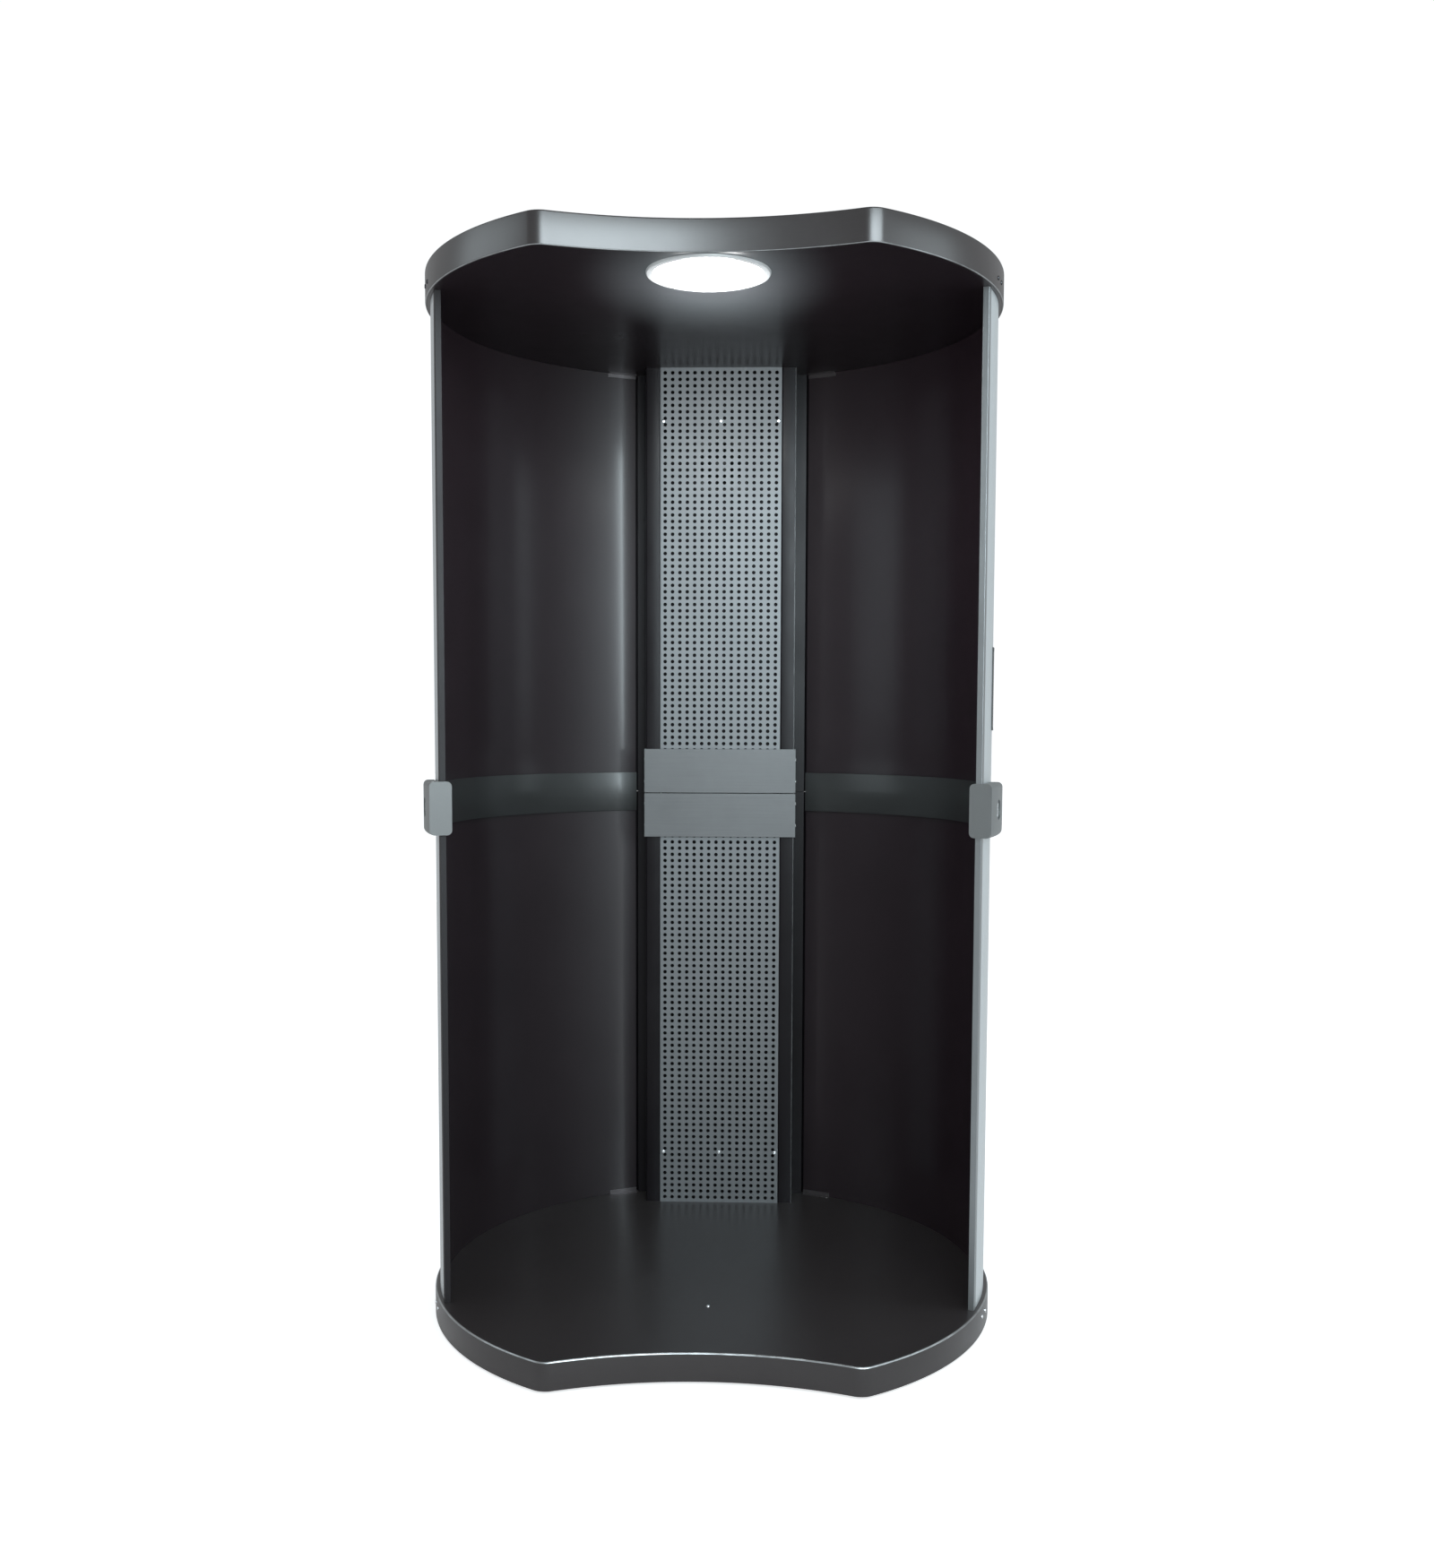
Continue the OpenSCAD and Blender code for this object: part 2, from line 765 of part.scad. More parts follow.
module clip_knob(s) {
    seat = clip_r1 - knob_recess + gap;
    color("silver") on_side(s) radial(knob_a, joint_z) {
        rotate([0, 90, 0]) {
            translate([0, 0, seat]) cylinder(r = knob_r, h = knob_t);
            translate([0, 0, clip_slot_r1 + 1]) cylinder(r = knob_stud_r, h = seat - clip_slot_r1);
        }
        translate([seat + knob_t - 1, -knob_grip / 2, knob_edge - knob_r])
            cube([knob_grip_h, knob_grip, 2 * (knob_r - knob_edge)]);
    }
}

module left_clip_knob() { clip_knob(-1); }
module right_clip_knob() { clip_knob(1); }

// ---- Delivery slot ----

module pocket_cut() {
    radial(pocket_a, pocket_z) translate([pocket_r - gap, -pocket_w / 2 - gap, -pocket_h / 2 - gap])
        cube([2 * through, pocket_w + 2 * gap, pocket_h + 2 * gap]);
}

module delivery_chute() {
    flange_a = arc_a(pocket_w / 2 + pocket_flange);
    flange_h = pocket_h + 2 * pocket_flange;
    flange_z = pocket_z - flange_h / 2;
    color("#151515") difference() {
        union() {
            arc_shell(skin_r, flange_t, pocket_a - flange_a, pocket_a + flange_a, flange_z, flange_h);
            radial(pocket_a, pocket_z) translate([pocket_r, -pocket_w / 2, -pocket_h / 2])
                cube([skin_r + 1 - pocket_r, pocket_w, pocket_h]);
        }
        radial(pocket_a, pocket_z) {
            translate([pocket_r + pocket_back_t, pocket_t - pocket_w / 2, pocket_t - pocket_h / 2])
                cube([2 * through, pocket_w - 2 * pocket_t, pocket_h - 2 * pocket_t]);
            translate([flap_pin_x, 0, flap_pin_z]) rotate([90, 0, 0])
                cylinder(r = flap_pin_r + run, h = pocket_w - 1, center = true);
        }
    }
}

module delivery_flap() {
    w = pocket_w - 2 * (pocket_t + flap_side_gap);
    foot_z = pocket_t - pocket_h / 2 + flap_foot_gap;
    color("#1d1f20") radial(pocket_a, pocket_z) {
        translate([flap_pin_x, 0, flap_pin_z]) rotate([90, 0, 0]) {
            cylinder(r = flap_knuckle_r, h = w, center = true);
            cylinder(r = flap_pin_r, h = pocket_w - 1.5, center = true);
        }
        translate([flap_pin_x + flap_knuckle_r - flap_t, -w / 2, foot_z])
            cube([flap_t, w, flap_pin_z - foot_z]);
    }
}

// ---- Fan ----

module fan_at() {
    at_axis(fan_z) translate([0, fan_y, 0]) rotate([-90, 0, 0]) children();
}

module fan_frame() {
    color("#1b1b1b") fan_at() {
        difference() {
            translate([-fan_w / 2, -fan_w / 2, 0]) cube([fan_w, fan_w, fan_d]);
            translate([0, 0, -1]) cylinder(r = fan_bore_r, h = fan_d + 2);
        }
        difference() {
            union() {
                translate([0, 0, fan_d - fan_strut_t]) cylinder(r = fan_hub_r, h = fan_strut_t);
                for (i = [0:2]) rotate([0, 0, i * 120 + 30])
                    translate([0, -strut_w / 2, fan_d - fan_strut_t])
                        cube([fan_bore_r + 1, strut_w, fan_strut_t]);
            }
            translate([0, 0, fan_d - fan_strut_t - 1]) cylinder(r = fan_shaft_r + run, h = fan_strut_t);
        }
    }
}

module fan_rotor() {
    hub_h = fan_d - fan_strut_t - rotor_start - 1;
    color("#2a2a2a") fan_at() translate([0, 0, rotor_start]) {
        cylinder(r = fan_hub_r - hub_gap, h = hub_h);
        cylinder(r = fan_shaft_r, h = hub_h + shaft_end);
        for (i = [0:blade_count - 1]) rotate([0, 0, i * 360 / blade_count])
            translate([0, 0, hub_h / 2]) rotate([blade_tilt, 0, 0])
                translate([blade_root_r, -blade_chord / 2, -blade_t / 2])
                    cube([fan_bore_r - blade_tip_gap - blade_root_r, blade_chord, blade_t]);
    }
}

// ---- Service plate, power inlet, switch and cable ----

module service_at(x) {
    at_axis(service_z) translate([x, service_y, 0]) children();
}

// A moulded plate with a flat face, whose back follows the rear cover
module service_plate() {
    color("#2c2d2f") difference() {
        service_at(0) translate([-service_w / 2, -service_depth, -service_h / 2])
            cube([service_w, service_depth + sheet_t, service_h]);
        at_axis(service_z - service_h) cylinder(r = service_y, h = 2 * service_h);
        service_at(cable_x) block_hole(inlet_body);
        service_at(switch_x) block_hole(switch_body);
    }
}

module block_hole(body) {
    translate([-body.x / 2 - gap, -service_depth, -body.z / 2 - gap])
        cube([body.x + 2 * gap, service_depth + sheet_t + 1, body.z + 2 * gap]);
}

// A snap-in block: its body behind the plate and a thin flange on the plate's face
module snap_in(body) {
    translate([-body.x / 2, sheet_t - body.y, -body.z / 2]) cube([body.x, body.y, body.z]);
    translate([-body.x / 2 - flange_lap, sheet_t, -body.z / 2 - flange_lap])
        cube([body.x + 2 * flange_lap, block_flange_t, body.z + 2 * flange_lap]);
}

module power_inlet() {
    color("#161616") service_at(cable_x) {
        difference() {
            snap_in(inlet_body);
            translate([-inlet_well.x / 2, sheet_t + block_flange_t - inlet_well.y, -inlet_well.z / 2])
                cube([inlet_well.x, inlet_well.y + 1, inlet_well.z]);
        }
        for (i = [-1:1])
            translate([i * contact_step - contact_w / 2, sheet_t + 1 - inlet_well.y, i == 0 ? 0 : -contact_h])
                cube([contact_w, contact_l, contact_h]);
    }
}

module switch_housing() {
    color("#161616") service_at(switch_x) difference() {
        snap_in(switch_body);
        translate([-rocker_w / 2 - 1, sheet_t - rocker_well, -rocker_h / 2 - 2])
            cube([rocker_w + 2, through, rocker_h + 4]);
        translate([0, -rocker_back, 0]) rotate([0, 90, 0])
            cylinder(r = rocker_pin_r + run, h = rocker_w + 5, center = true);
    }
}

module switch_rocker() {
    color("#202020") service_at(switch_x) translate([0, -rocker_back, 0]) rotate([rocker_tilt, 0, 0]) {
        rotate([0, 90, 0]) cylinder(r = rocker_pin_r, h = rocker_w + 4.4, center = true);
        translate([-rocker_w / 2, 0, -rocker_h / 2]) cube([rocker_w, rocker_t, rocker_h]);
        translate([-rocker_foot / 2, -4, -rocker_foot / 2]) cube([rocker_foot, 5, rocker_foot]);
    }
}

// A round cable along straight runs from point to point, with a rounded knee at each inner point
module cable_run(points) {
    last = len(points) - 1;
    for (i = [0:last - 1]) cable_stretch(points[i], points[i + 1] - points[i]);
    for (i = [1:last - 1]) translate(points[i]) sphere(cable_r);
}

// One straight stretch of cable from a point along a row axis
module cable_stretch(from, run_to) {
    turn = run_to.z != 0 ? [0, 0, 0] : [90, 0, 0];
    translate(from) rotate(turn) cylinder(r = cable_r, h = norm(run_to));
}

module lower_cable() {
    inlet_back = service_y + sheet_t - inlet_body.y;
    color("#111111") at_axis() translate([cable_x, 0, 0]) {
        cable_run([[0, inlet_back, service_z], [0, cable_y, service_z], [0, cable_y, joint_z - 1]]);
        translate([0, cable_y, joint_z - connector_h]) cylinder(r = connector_r, h = connector_h);
    }
}

module upper_cable() {
    driver_z = ceiling_z + shell_t + driver_size.z / 2;
    driver_end = driver_y + driver_size.y;
    color("#111111") at_axis() translate([cable_x, 0, 0]) {
        cable_run([[0, cable_y, joint_z + 1], [0, cable_y, driver_z], [0, driver_end, driver_z]]);
        translate([0, cable_y, joint_z]) cylinder(r = connector_r, h = connector_h);
    }
}

base_shell();
base_frame();
feet();
base_screws();
lower_left_wall();
lower_right_wall();
lower_left_skin();
lower_right_skin();
lower_left_trim();
lower_right_trim();
lower_left_post();
lower_right_post();
lower_back_plate();
lower_perforated_panel();
lower_joint_plate();
lower_rear_cover();
lower_post_plugs();
alignment_pins();
lower_brackets();
lower_spine_screws();
service_plate();
power_inlet();
switch_housing();
switch_rocker();
lower_cable();
cap_shell();
cap_frame();
ceiling_panel();
cap_screws();
light_bezel();
light_diffuser();
light_housing();
led_driver();
upper_left_wall();
upper_right_wall();
upper_left_skin();
upper_right_skin();
upper_left_trim();
upper_right_trim();
upper_left_post();
upper_right_post();
upper_back_plate();
upper_perforated_panel();
upper_joint_plate();
upper_rear_cover();
upper_post_plugs();
upper_brackets();
upper_spine_screws();
left_splice_band();
right_splice_band();
upper_cable();
fan_frame();
fan_rotor();
delivery_chute();
delivery_flap();
left_edge_clip();
right_edge_clip();
left_clip_knob();
right_clip_knob();
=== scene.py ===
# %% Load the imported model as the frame
import json
import math

import bmesh
import bpy
from mathutils import Matrix, Vector

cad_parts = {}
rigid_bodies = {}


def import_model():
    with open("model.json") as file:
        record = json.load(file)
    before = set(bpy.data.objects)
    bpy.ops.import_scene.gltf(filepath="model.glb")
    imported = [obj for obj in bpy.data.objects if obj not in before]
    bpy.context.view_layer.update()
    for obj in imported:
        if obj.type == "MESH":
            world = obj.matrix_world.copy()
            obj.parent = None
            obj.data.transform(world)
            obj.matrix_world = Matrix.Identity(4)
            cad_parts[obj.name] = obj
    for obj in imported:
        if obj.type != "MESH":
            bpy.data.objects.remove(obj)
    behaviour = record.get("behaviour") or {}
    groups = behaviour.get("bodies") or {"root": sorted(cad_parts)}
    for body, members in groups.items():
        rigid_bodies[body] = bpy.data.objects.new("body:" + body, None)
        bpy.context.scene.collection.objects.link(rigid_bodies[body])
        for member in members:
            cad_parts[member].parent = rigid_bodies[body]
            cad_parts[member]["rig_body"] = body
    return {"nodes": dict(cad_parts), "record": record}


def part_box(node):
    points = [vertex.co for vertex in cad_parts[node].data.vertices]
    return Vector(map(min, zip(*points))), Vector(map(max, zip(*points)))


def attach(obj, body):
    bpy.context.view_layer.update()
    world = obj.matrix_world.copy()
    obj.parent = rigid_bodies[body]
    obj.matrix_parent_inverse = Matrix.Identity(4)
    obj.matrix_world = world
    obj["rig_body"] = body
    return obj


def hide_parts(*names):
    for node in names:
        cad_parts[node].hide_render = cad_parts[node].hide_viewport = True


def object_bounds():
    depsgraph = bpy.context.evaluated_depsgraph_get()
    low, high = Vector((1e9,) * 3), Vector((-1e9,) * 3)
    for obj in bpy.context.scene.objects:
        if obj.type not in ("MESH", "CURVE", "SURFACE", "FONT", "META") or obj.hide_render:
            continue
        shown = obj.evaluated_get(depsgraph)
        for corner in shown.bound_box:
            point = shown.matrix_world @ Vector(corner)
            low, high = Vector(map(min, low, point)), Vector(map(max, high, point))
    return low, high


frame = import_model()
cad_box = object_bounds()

# %% [markdown]
# # A round booth to stand in, made in two halves
# The booth is an upright tube of thin curved walls, open at the front, between a base and a cap.
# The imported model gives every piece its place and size. This lesson gives each piece its edges,
# its small shapes and its surface.
#
# We start with the few sizes that the shapes below share. They are written in millimetres,
# because that is how such a booth is drawn, and turned into Blender's metres when a mesh is made.

# %% Shared sizes, in millimetres
MM = 0.001
RIM_R, CORNER_R, CUT_R, CUT_DEPTH = 585.0, 39.0, 777.0, 137.0
BASE_H, HALF_H, CAP_H, SHELL_T, SKIRT_LIFT = 60.0, 1000.0, 60.0, 3.0, 4.0
JOINT_Z, CEILING_Z = BASE_H + HALF_H, BASE_H + 2 * HALF_H
CUT_D = RIM_R - CUT_DEPTH + CUT_R


def meeting_point(a, b):
    """Where a circle of radius a about the booth's axis meets one of radius b about the front cut."""
    y = (a * a - b * b + CUT_D * CUT_D) / (2 * CUT_D)
    return math.sqrt(a * a - y * y), -y


def linked(name, data):
    """A new object that holds the data and stands in the scene."""
    obj = bpy.data.objects.new(name, data)
    bpy.context.scene.collection.objects.link(obj)
    return obj


CORNER_X, CORNER_Y = meeting_point(RIM_R - CORNER_R, CUT_R + CORNER_R)
AXIS_Y = -(RIM_R + CORNER_Y - CORNER_R - 0.1) / 2
low, high = cad_box
print("booth axis at y =", round(AXIS_Y, 2), "mm; box", [round(c, 3) for c in (*low, *high)])

# %% [markdown]
# ## Camera
# The eye stands in front of the booth, a little above its middle, and looks slightly down.
# The camera's three axes are worked out from a turn, a tilt and a small roll.

# %% Camera
CAMERA_PLACE = Vector((0.1140, -3.2676, 1.2400))
TILT_DOWN, TURN, ROLL = 0.0730, -0.0328, 0.0029
SENSOR, FOCAL, FRAME_WIDE, FRAME_LONG = 36, 1713.4, 1600.0, 1750.0
CENTRE_X, CENTRE_Y = 800.0, 926.26

level = math.cos(TILT_DOWN)
ahead = Vector((math.sin(TURN) * level, math.cos(TURN) * level, -math.sin(TILT_DOWN)))
right = Vector((math.cos(TURN), -math.sin(TURN), 0))
up = right.cross(ahead)
rolled_right = right * math.cos(ROLL) + up * math.sin(ROLL)
rolled_up = up * math.cos(ROLL) - right * math.sin(ROLL)

camera = linked("camera", bpy.data.cameras.new("camera"))
camera.data.sensor_width = SENSOR
camera.data.lens = SENSOR * FOCAL / FRAME_LONG
camera.data.shift_x = (FRAME_WIDE / 2 - CENTRE_X) / FRAME_LONG
camera.data.shift_y = (CENTRE_Y - FRAME_LONG / 2) / FRAME_LONG
camera.matrix_world = Matrix.Translation(CAMERA_PLACE) @ Matrix(
    (rolled_right, rolled_up, -ahead)
).transposed().to_4x4()
bpy.context.scene.camera = camera
print("lens", round(camera.data.lens, 2), "mm, shift", round(camera.data.shift_y, 4))

# %% [markdown]
# ## One way to write every node
# Shader nodes and geometry nodes are made by the same small class. Its method takes a node's type,
# its settings and what goes into its sockets, and gives back one output, wrapped so that
# ordinary Python sums add Math nodes: `1 - mask * 0.5` reads like the sum it is.


# %% Nodes and sums
class Wire:
    """One output socket. Adding, subtracting and multiplying it makes Math nodes."""

    def __init__(self, nodes, socket):
        self.nodes, self.socket = nodes, socket

    def _sum(self, operation, first, second):
        return self.nodes.node("ShaderNodeMath", {"operation": operation}, {0: first, 1: second})

    def __add__(self, other):
        return self._sum("ADD", self, other)

    def __sub__(self, other):
        return self._sum("SUBTRACT", self, other)

    def __rsub__(self, other):
        return self._sum("SUBTRACT", other, self)

    def __mul__(self, other):
        return self._sum("MULTIPLY", self, other)

    __radd__, __rmul__ = __add__, __mul__

    def other(self, name):
        """Another output of the same node."""
        return Wire(self.nodes, self.socket.node.outputs[name])


class Nodes:
    """A node tree that is written node by node."""

    def __init__(self, tree):
        self.tree = tree

    def node(self, kind, settings=None, sockets=None, out=0):
        """Makes a node from its settings and what goes into its sockets; gives back one output."""
        made = self.tree.nodes.new(kind)
        for name, value in (settings or {}).items():
            if name == "stops":
                ramp = made.color_ramp
                while len(ramp.elements) < len(value):
                    ramp.elements.new(1.0)
                for element, (place, colour) in zip(ramp.elements, value):
                    element.position, element.color = place, colour
            else:
                setattr(made, name, value)
        for name, value in (sockets or {}).items():
            self.feed(made.inputs[name], value)
        return Wire(self, made.outputs[out]) if len(made.outputs) else made

    def feed(self, socket, value):
        if isinstance(value, Wire):
            self.tree.links.new(value.socket, socket)
        elif value is not None:
            socket.default_value = value


# Sockets that share a name go by number: those of a Mix node, then the ends of a Map Range.
AS_COLOUR, COLOUR_OUT = {"data_type": "RGBA"}, 2
SHARE, FIRST, SECOND = 0, 6, 7
FROM_LOW, FROM_HIGH, TO_LOW, TO_HIGH = 1, 2, 3, 4
print("node helpers ready")

# %% [markdown]
# ## Finishes
# Nearly every surface here is painted sheet, moulded plastic or plain metal. What sets them apart is
# the base colour, how sharp the shine is, and the size and direction of a fine grain. So one recipe
# makes them all: a cloudy mask varies colour and shine a little, as handling does, and a fine grain,
# stretched along the brushing where there is one, goes into the bump. Patterns are read from Object
# coordinates, which never slide, because every piece keeps its place in its own mesh.


# %% The recipe of a finish
def grey(value, alpha=1.0):
    return (value, value, value, alpha)


def emptied(block):
    """The emptied node tree of a new material or world."""
    block.use_nodes = True
    block.node_tree.nodes.clear()
    return Nodes(block.node_tree)


GRAIN_DEPTH, DUST_SCALE, DUST_COLOUR = 0.0004, 60.0, (0.45, 0.45, 0.44, 1)


def finish(
    name, colour, rough, metal=0.0, grain=(900, 900, 900), bump=0.10, cloud=5.0,
    rough_play=0.10, colour_play=0.22, dust=0.0, constants=None,
):
    """A procedural material; grain is the number of grains per metre along x, y and z."""
    material = bpy.data.materials.new(name)
    n = emptied(material)
    place = n.node("ShaderNodeTexCoord", out="Object")
    stretched = n.node("ShaderNodeMapping", {"vector_type": "POINT"}, {"Vector": place, "Scale": grain})
    fine = n.node("ShaderNodeTexNoise", {}, {"Vector": stretched, "Scale": 1.0, "Detail": 3.0}, "Fac")
    cloudy = {"Vector": place, "Scale": cloud, "Detail": 5.0, "Roughness": 0.62}
    clouds = n.node("ShaderNodeTexNoise", {}, cloudy, "Fac")
    shade = (clouds - 0.5) * (2 * colour_play) + (fine - 0.5) * colour_play
    lighter = [min(1, c * (1 + colour_play) + 0.004) for c in colour] + [1]
    darker = [c * (1 - colour_play) for c in colour] + [1]
    mottled = {SHARE: shade + 0.5, FIRST: darker, SECOND: lighter}
    tint = n.node("ShaderNodeMix", AS_COLOUR, mottled, COLOUR_OUT)
    if dust:
        speckled = {"Vector": place, "Scale": DUST_SCALE, "Detail": 6.0}
        specks = n.node("ShaderNodeTexNoise", {}, speckled, "Fac")
        settled = n.node("ShaderNodeValToRGB", {"stops": [(0.5, grey(0)), (0.8, grey(1))]}, {"Fac": specks})
        dusted = {SHARE: settled * dust, FIRST: tint, SECOND: DUST_COLOUR}
        tint = n.node("ShaderNodeMix", AS_COLOUR, dusted, COLOUR_OUT)
    shine = (clouds - 0.5) * (2 * rough_play) + (fine - 0.5) * rough_play + rough
    grains = {"Height": fine, "Strength": bump, "Distance": GRAIN_DEPTH}
    relief = n.node("ShaderNodeBump", {}, grains, "Normal")
    sockets = {"Base Color": tint, "Roughness": shine, "Metallic": metal, "Normal": relief}
    sockets.update(constants or {})
    shader = n.node("ShaderNodeBsdfPrincipled", {}, sockets, "BSDF")
    n.node("ShaderNodeOutputMaterial", {}, {"Surface": shader})
    return material


print("finish recipe ready")

# %% [markdown]
# The pale outer sheets and the black inner boards are the two big surfaces. The boards are matt
# under a clear coat, so they show soft upright reflections. Base and cap are satin black. Two
# more finishes have no slot of their own: a dark strip paint that paints shade on the left edge
# strips, and a bright metallic edge paint that paints highlight lines on rounded edges.
# Grains per metre: 900 is about a millimetre.

# %% Paints, plastics and metals, one for each slot of the record
LEVEL_BRUSH, UPRIGHT_BRUSH, PLATE_BRUSH = (12, 12, 1300), (1500, 1500, 9), (7, 7, 330)
SHELL_GRAIN, BOARD_GRAIN = (60, 60, 420), (90, 90, 420)
FINISHES = {
    "black_shell": finish(
        "satin black shell paint", (0.046, 0.041, 0.042), 0.31, 0.15, SHELL_GRAIN, 0.05, 6, 0.06, 0.25,
        constants={"Specular IOR Level": 0.6},
    ),
    "frame_steel": finish("black primer on welded frame", (0.045, 0.045, 0.05), 0.6, 0.1, bump=0.2, dust=0.15),
    "rubber": finish("foot rubber", (0.022, 0.022, 0.023), 0.8, bump=0.3, dust=0.2),
    "bright_screw": finish("zinc plated screw", (0.62, 0.63, 0.64), 0.28, 1.0, (2000, 2000, 2000), 0.05),
    "dark_screw": finish("black zinc screw", (0.05, 0.052, 0.056), 0.34, 0.8, (2000, 2000, 2000), 0.05),
    "wall_board": finish(
        "semi-gloss black board", (0.0180, 0.0088, 0.0138), 0.50, 0.0, BOARD_GRAIN, 0.10, 3.2, 0.07, 0.35,
        constants={"Specular IOR Level": 0.38, "Coat Weight": 0.85, "Coat Roughness": 0.16},
    ),
    "outer_skin": finish(
        "pale silver sheet", (0.56, 0.61, 0.63), 0.38, 0.0, (700, 700, 700), 0.05, 4, 0.06, 0.05,
        constants={"Coat Weight": 0.3, "Coat Roughness": 0.2},
    ),
    "edge_trim": finish("satin aluminium edge", (0.27, 0.29, 0.30), 0.36, 0.6, UPRIGHT_BRUSH, 0.08),
    "spine_black": finish(
        "spine post paint", (0.010, 0.008, 0.011), 0.34, 0.0, UPRIGHT_BRUSH, 0.10, 7, 0.14, 0.3,
        constants={"Specular IOR Level": 0.14},
    ),
    "perforated_sheet": finish(
        "perforated grey sheet", (0.245, 0.268, 0.283), 0.46, 0.1, (600, 600, 600), 0.06, 7, 0.08, 0.10
    ),
    "joint_steel": finish(
        "brushed joint plate", (0.135, 0.141, 0.145), 0.46, 0.3, PLATE_BRUSH, 0.3, 9, 0.12, 0.3
    ),
    "nylon": finish("black nylon", (0.03, 0.03, 0.03), 0.55, bump=0.15),
    "steel_pin": finish("ground steel pin", (0.66, 0.66, 0.68), 0.2, 1.0, (1500, 1500, 40), 0.05),
    "bracket": finish("dark steel bracket", (0.13, 0.12, 0.125), 0.34, 0.6, LEVEL_BRUSH, 0.12),
    "ceiling_black": finish(
        "satin black ceiling", (0.0120, 0.0070, 0.0100), 0.32, 0.0, (500, 500, 500), 0.08, 4, 0.1, 0.3
    ),
    "bezel_white": finish("white bezel", (0.80, 0.83, 0.84), 0.3, bump=0.03, colour_play=0.03),
    "heat_sink": finish("cast heat sink", (0.55, 0.55, 0.57), 0.5, 0.9, bump=0.25),
    "driver_case": finish("driver case", (0.74, 0.74, 0.72), 0.5, bump=0.12, colour_play=0.05, dust=0.1),
    "cable_black": finish("cable sheath", (0.025, 0.025, 0.026), 0.55, bump=0.12),
    "band": finish(
        "satin band paint", (0.042, 0.047, 0.048), 0.42, 0.15, LEVEL_BRUSH, 0.05, 6, 0.08, 0.25,
        constants={"Specular IOR Level": 0.5, "Coat Weight": 1.0, "Coat Roughness": 0.18},
    ),
    "clip_grey": finish(
        "grey moulded clip", (0.18, 0.195, 0.198), 0.42, 0.0, (1400, 1400, 1400), 0.16, 12, 0.06, 0.08
    ),
    "knob_steel": finish("turned knob", (0.5, 0.52, 0.53), 0.26, 1.0, (2500, 2500, 2500), 0.05),
    "black_plastic": finish("moulded black plastic", (0.02, 0.02, 0.022), 0.48, bump=0.2),
    # painted shade: a dark stand-in for the edge trim's finish, put on the left wall's strips
    "shade_edge_paint": finish(
        "edge strip paint for painted shade", (0.030, 0.028, 0.031), 0.5, 0.0, UPRIGHT_BRUSH, 0.08,
        constants={"Specular IOR Level": 0.15},
    ),
    # painted highlight: a bright metallic finish that draws the thin line of light a rounded edge catches
    "highlight_edge_paint": finish(
        "bright edge paint for painted highlights", (0.34, 0.355, 0.36), 0.38, 0.75, (60, 60, 60), 0.05, 14, 0.1, 0.6
    ),
    "smoke_flap": finish("glossy flap", (0.018, 0.02, 0.021), 0.12, bump=0.02, rough_play=0.04),
}
print(len(FINISHES), "finishes")

# %% [markdown]
# The light's cover glows. A fine prism pattern breaks the white up, and it falls off a
# little towards the rim, as such a panel does when its lamps sit behind the middle. The ceiling's
# paint also gets a faint halo painted into it as a soft glow. It stands in for the light that the cover
# spills along the ceiling, and it is narrower sideways than from front to back.

# %% The glowing cover and its painted halo
LIGHT_REACH, LIGHT_R, DIFFUSER_R, BEZEL_DROP = 325.0, 116.0, 102.5, 5.0
LIGHT_Y = AXIS_Y - LIGHT_REACH
PAINTED_GLOW_BACK, PAINTED_GLOW_END, PAINTED_GLOW_SHAPE, PAINTED_GLOW_COLOUR = 80.0, 0.42, (1.6, 1, 1), (0.80, 0.95, 1.0, 1)
PRISM_SCALE, PRISM_TINT = 420.0, (0.62, 0.7, 0.74, 1)


def distance_from(n, place, middle, shape=(1, 1, 1)):
    """Distance from a point in millimetres, measured in the piece's own coordinates."""
    to_middle = {"Vector": place, "Location": tuple(-c * MM for c in middle), "Scale": shape}
    shifted = n.node("ShaderNodeMapping", {}, to_middle)
    return n.node("ShaderNodeVectorMath", {"operation": "LENGTH"}, {0: shifted}, "Value")


def feed_glow(material, n, share, dim, bright):
    """The shader's glow takes a colour between dim and bright; gives back the shader."""
    glow = n.node("ShaderNodeMix", AS_COLOUR, {SHARE: share, FIRST: dim, SECOND: bright}, COLOUR_OUT)
    shader = next(node for node in material.node_tree.nodes if node.type == "BSDF_PRINCIPLED")
    n.feed(shader.inputs["Emission Color"], glow)
    return shader


def glowing_cover(strength):
    """A pale, prismatic cover that shines by itself."""
    material = bpy.data.materials.new("opal cover")
    n = emptied(material)
    place = n.node("ShaderNodeTexCoord", out="Object")
    distance = distance_from(n, place, (0, LIGHT_Y, CEILING_Z - 4))
    ends = {"Value": distance, FROM_LOW: 0.05, FROM_HIGH: DIFFUSER_R * MM, TO_LOW: 1.0, TO_HIGH: 0.6}
    fade = n.node("ShaderNodeMapRange", {}, ends)
    prisms = n.node("ShaderNodeTexVoronoi", {}, {"Vector": place, "Scale": PRISM_SCALE}, "Distance")
    white = {SHARE: fade - prisms * 0.1, FIRST: PRISM_TINT, SECOND: grey(1)}
    shade = n.node("ShaderNodeMix", AS_COLOUR, white, COLOUR_OUT)
    relief = n.node("ShaderNodeBump", {}, {"Height": prisms, "Strength": 0.2, "Distance": 0.001}, "Normal")
    sockets = {"Base Color": shade, "Roughness": 0.4, "Emission Color": shade}
    sockets.update({"Emission Strength": strength, "Normal": relief})
    shader = n.node("ShaderNodeBsdfPrincipled", {}, sockets, "BSDF")
    n.node("ShaderNodeOutputMaterial", {}, {"Surface": shader})
    return material


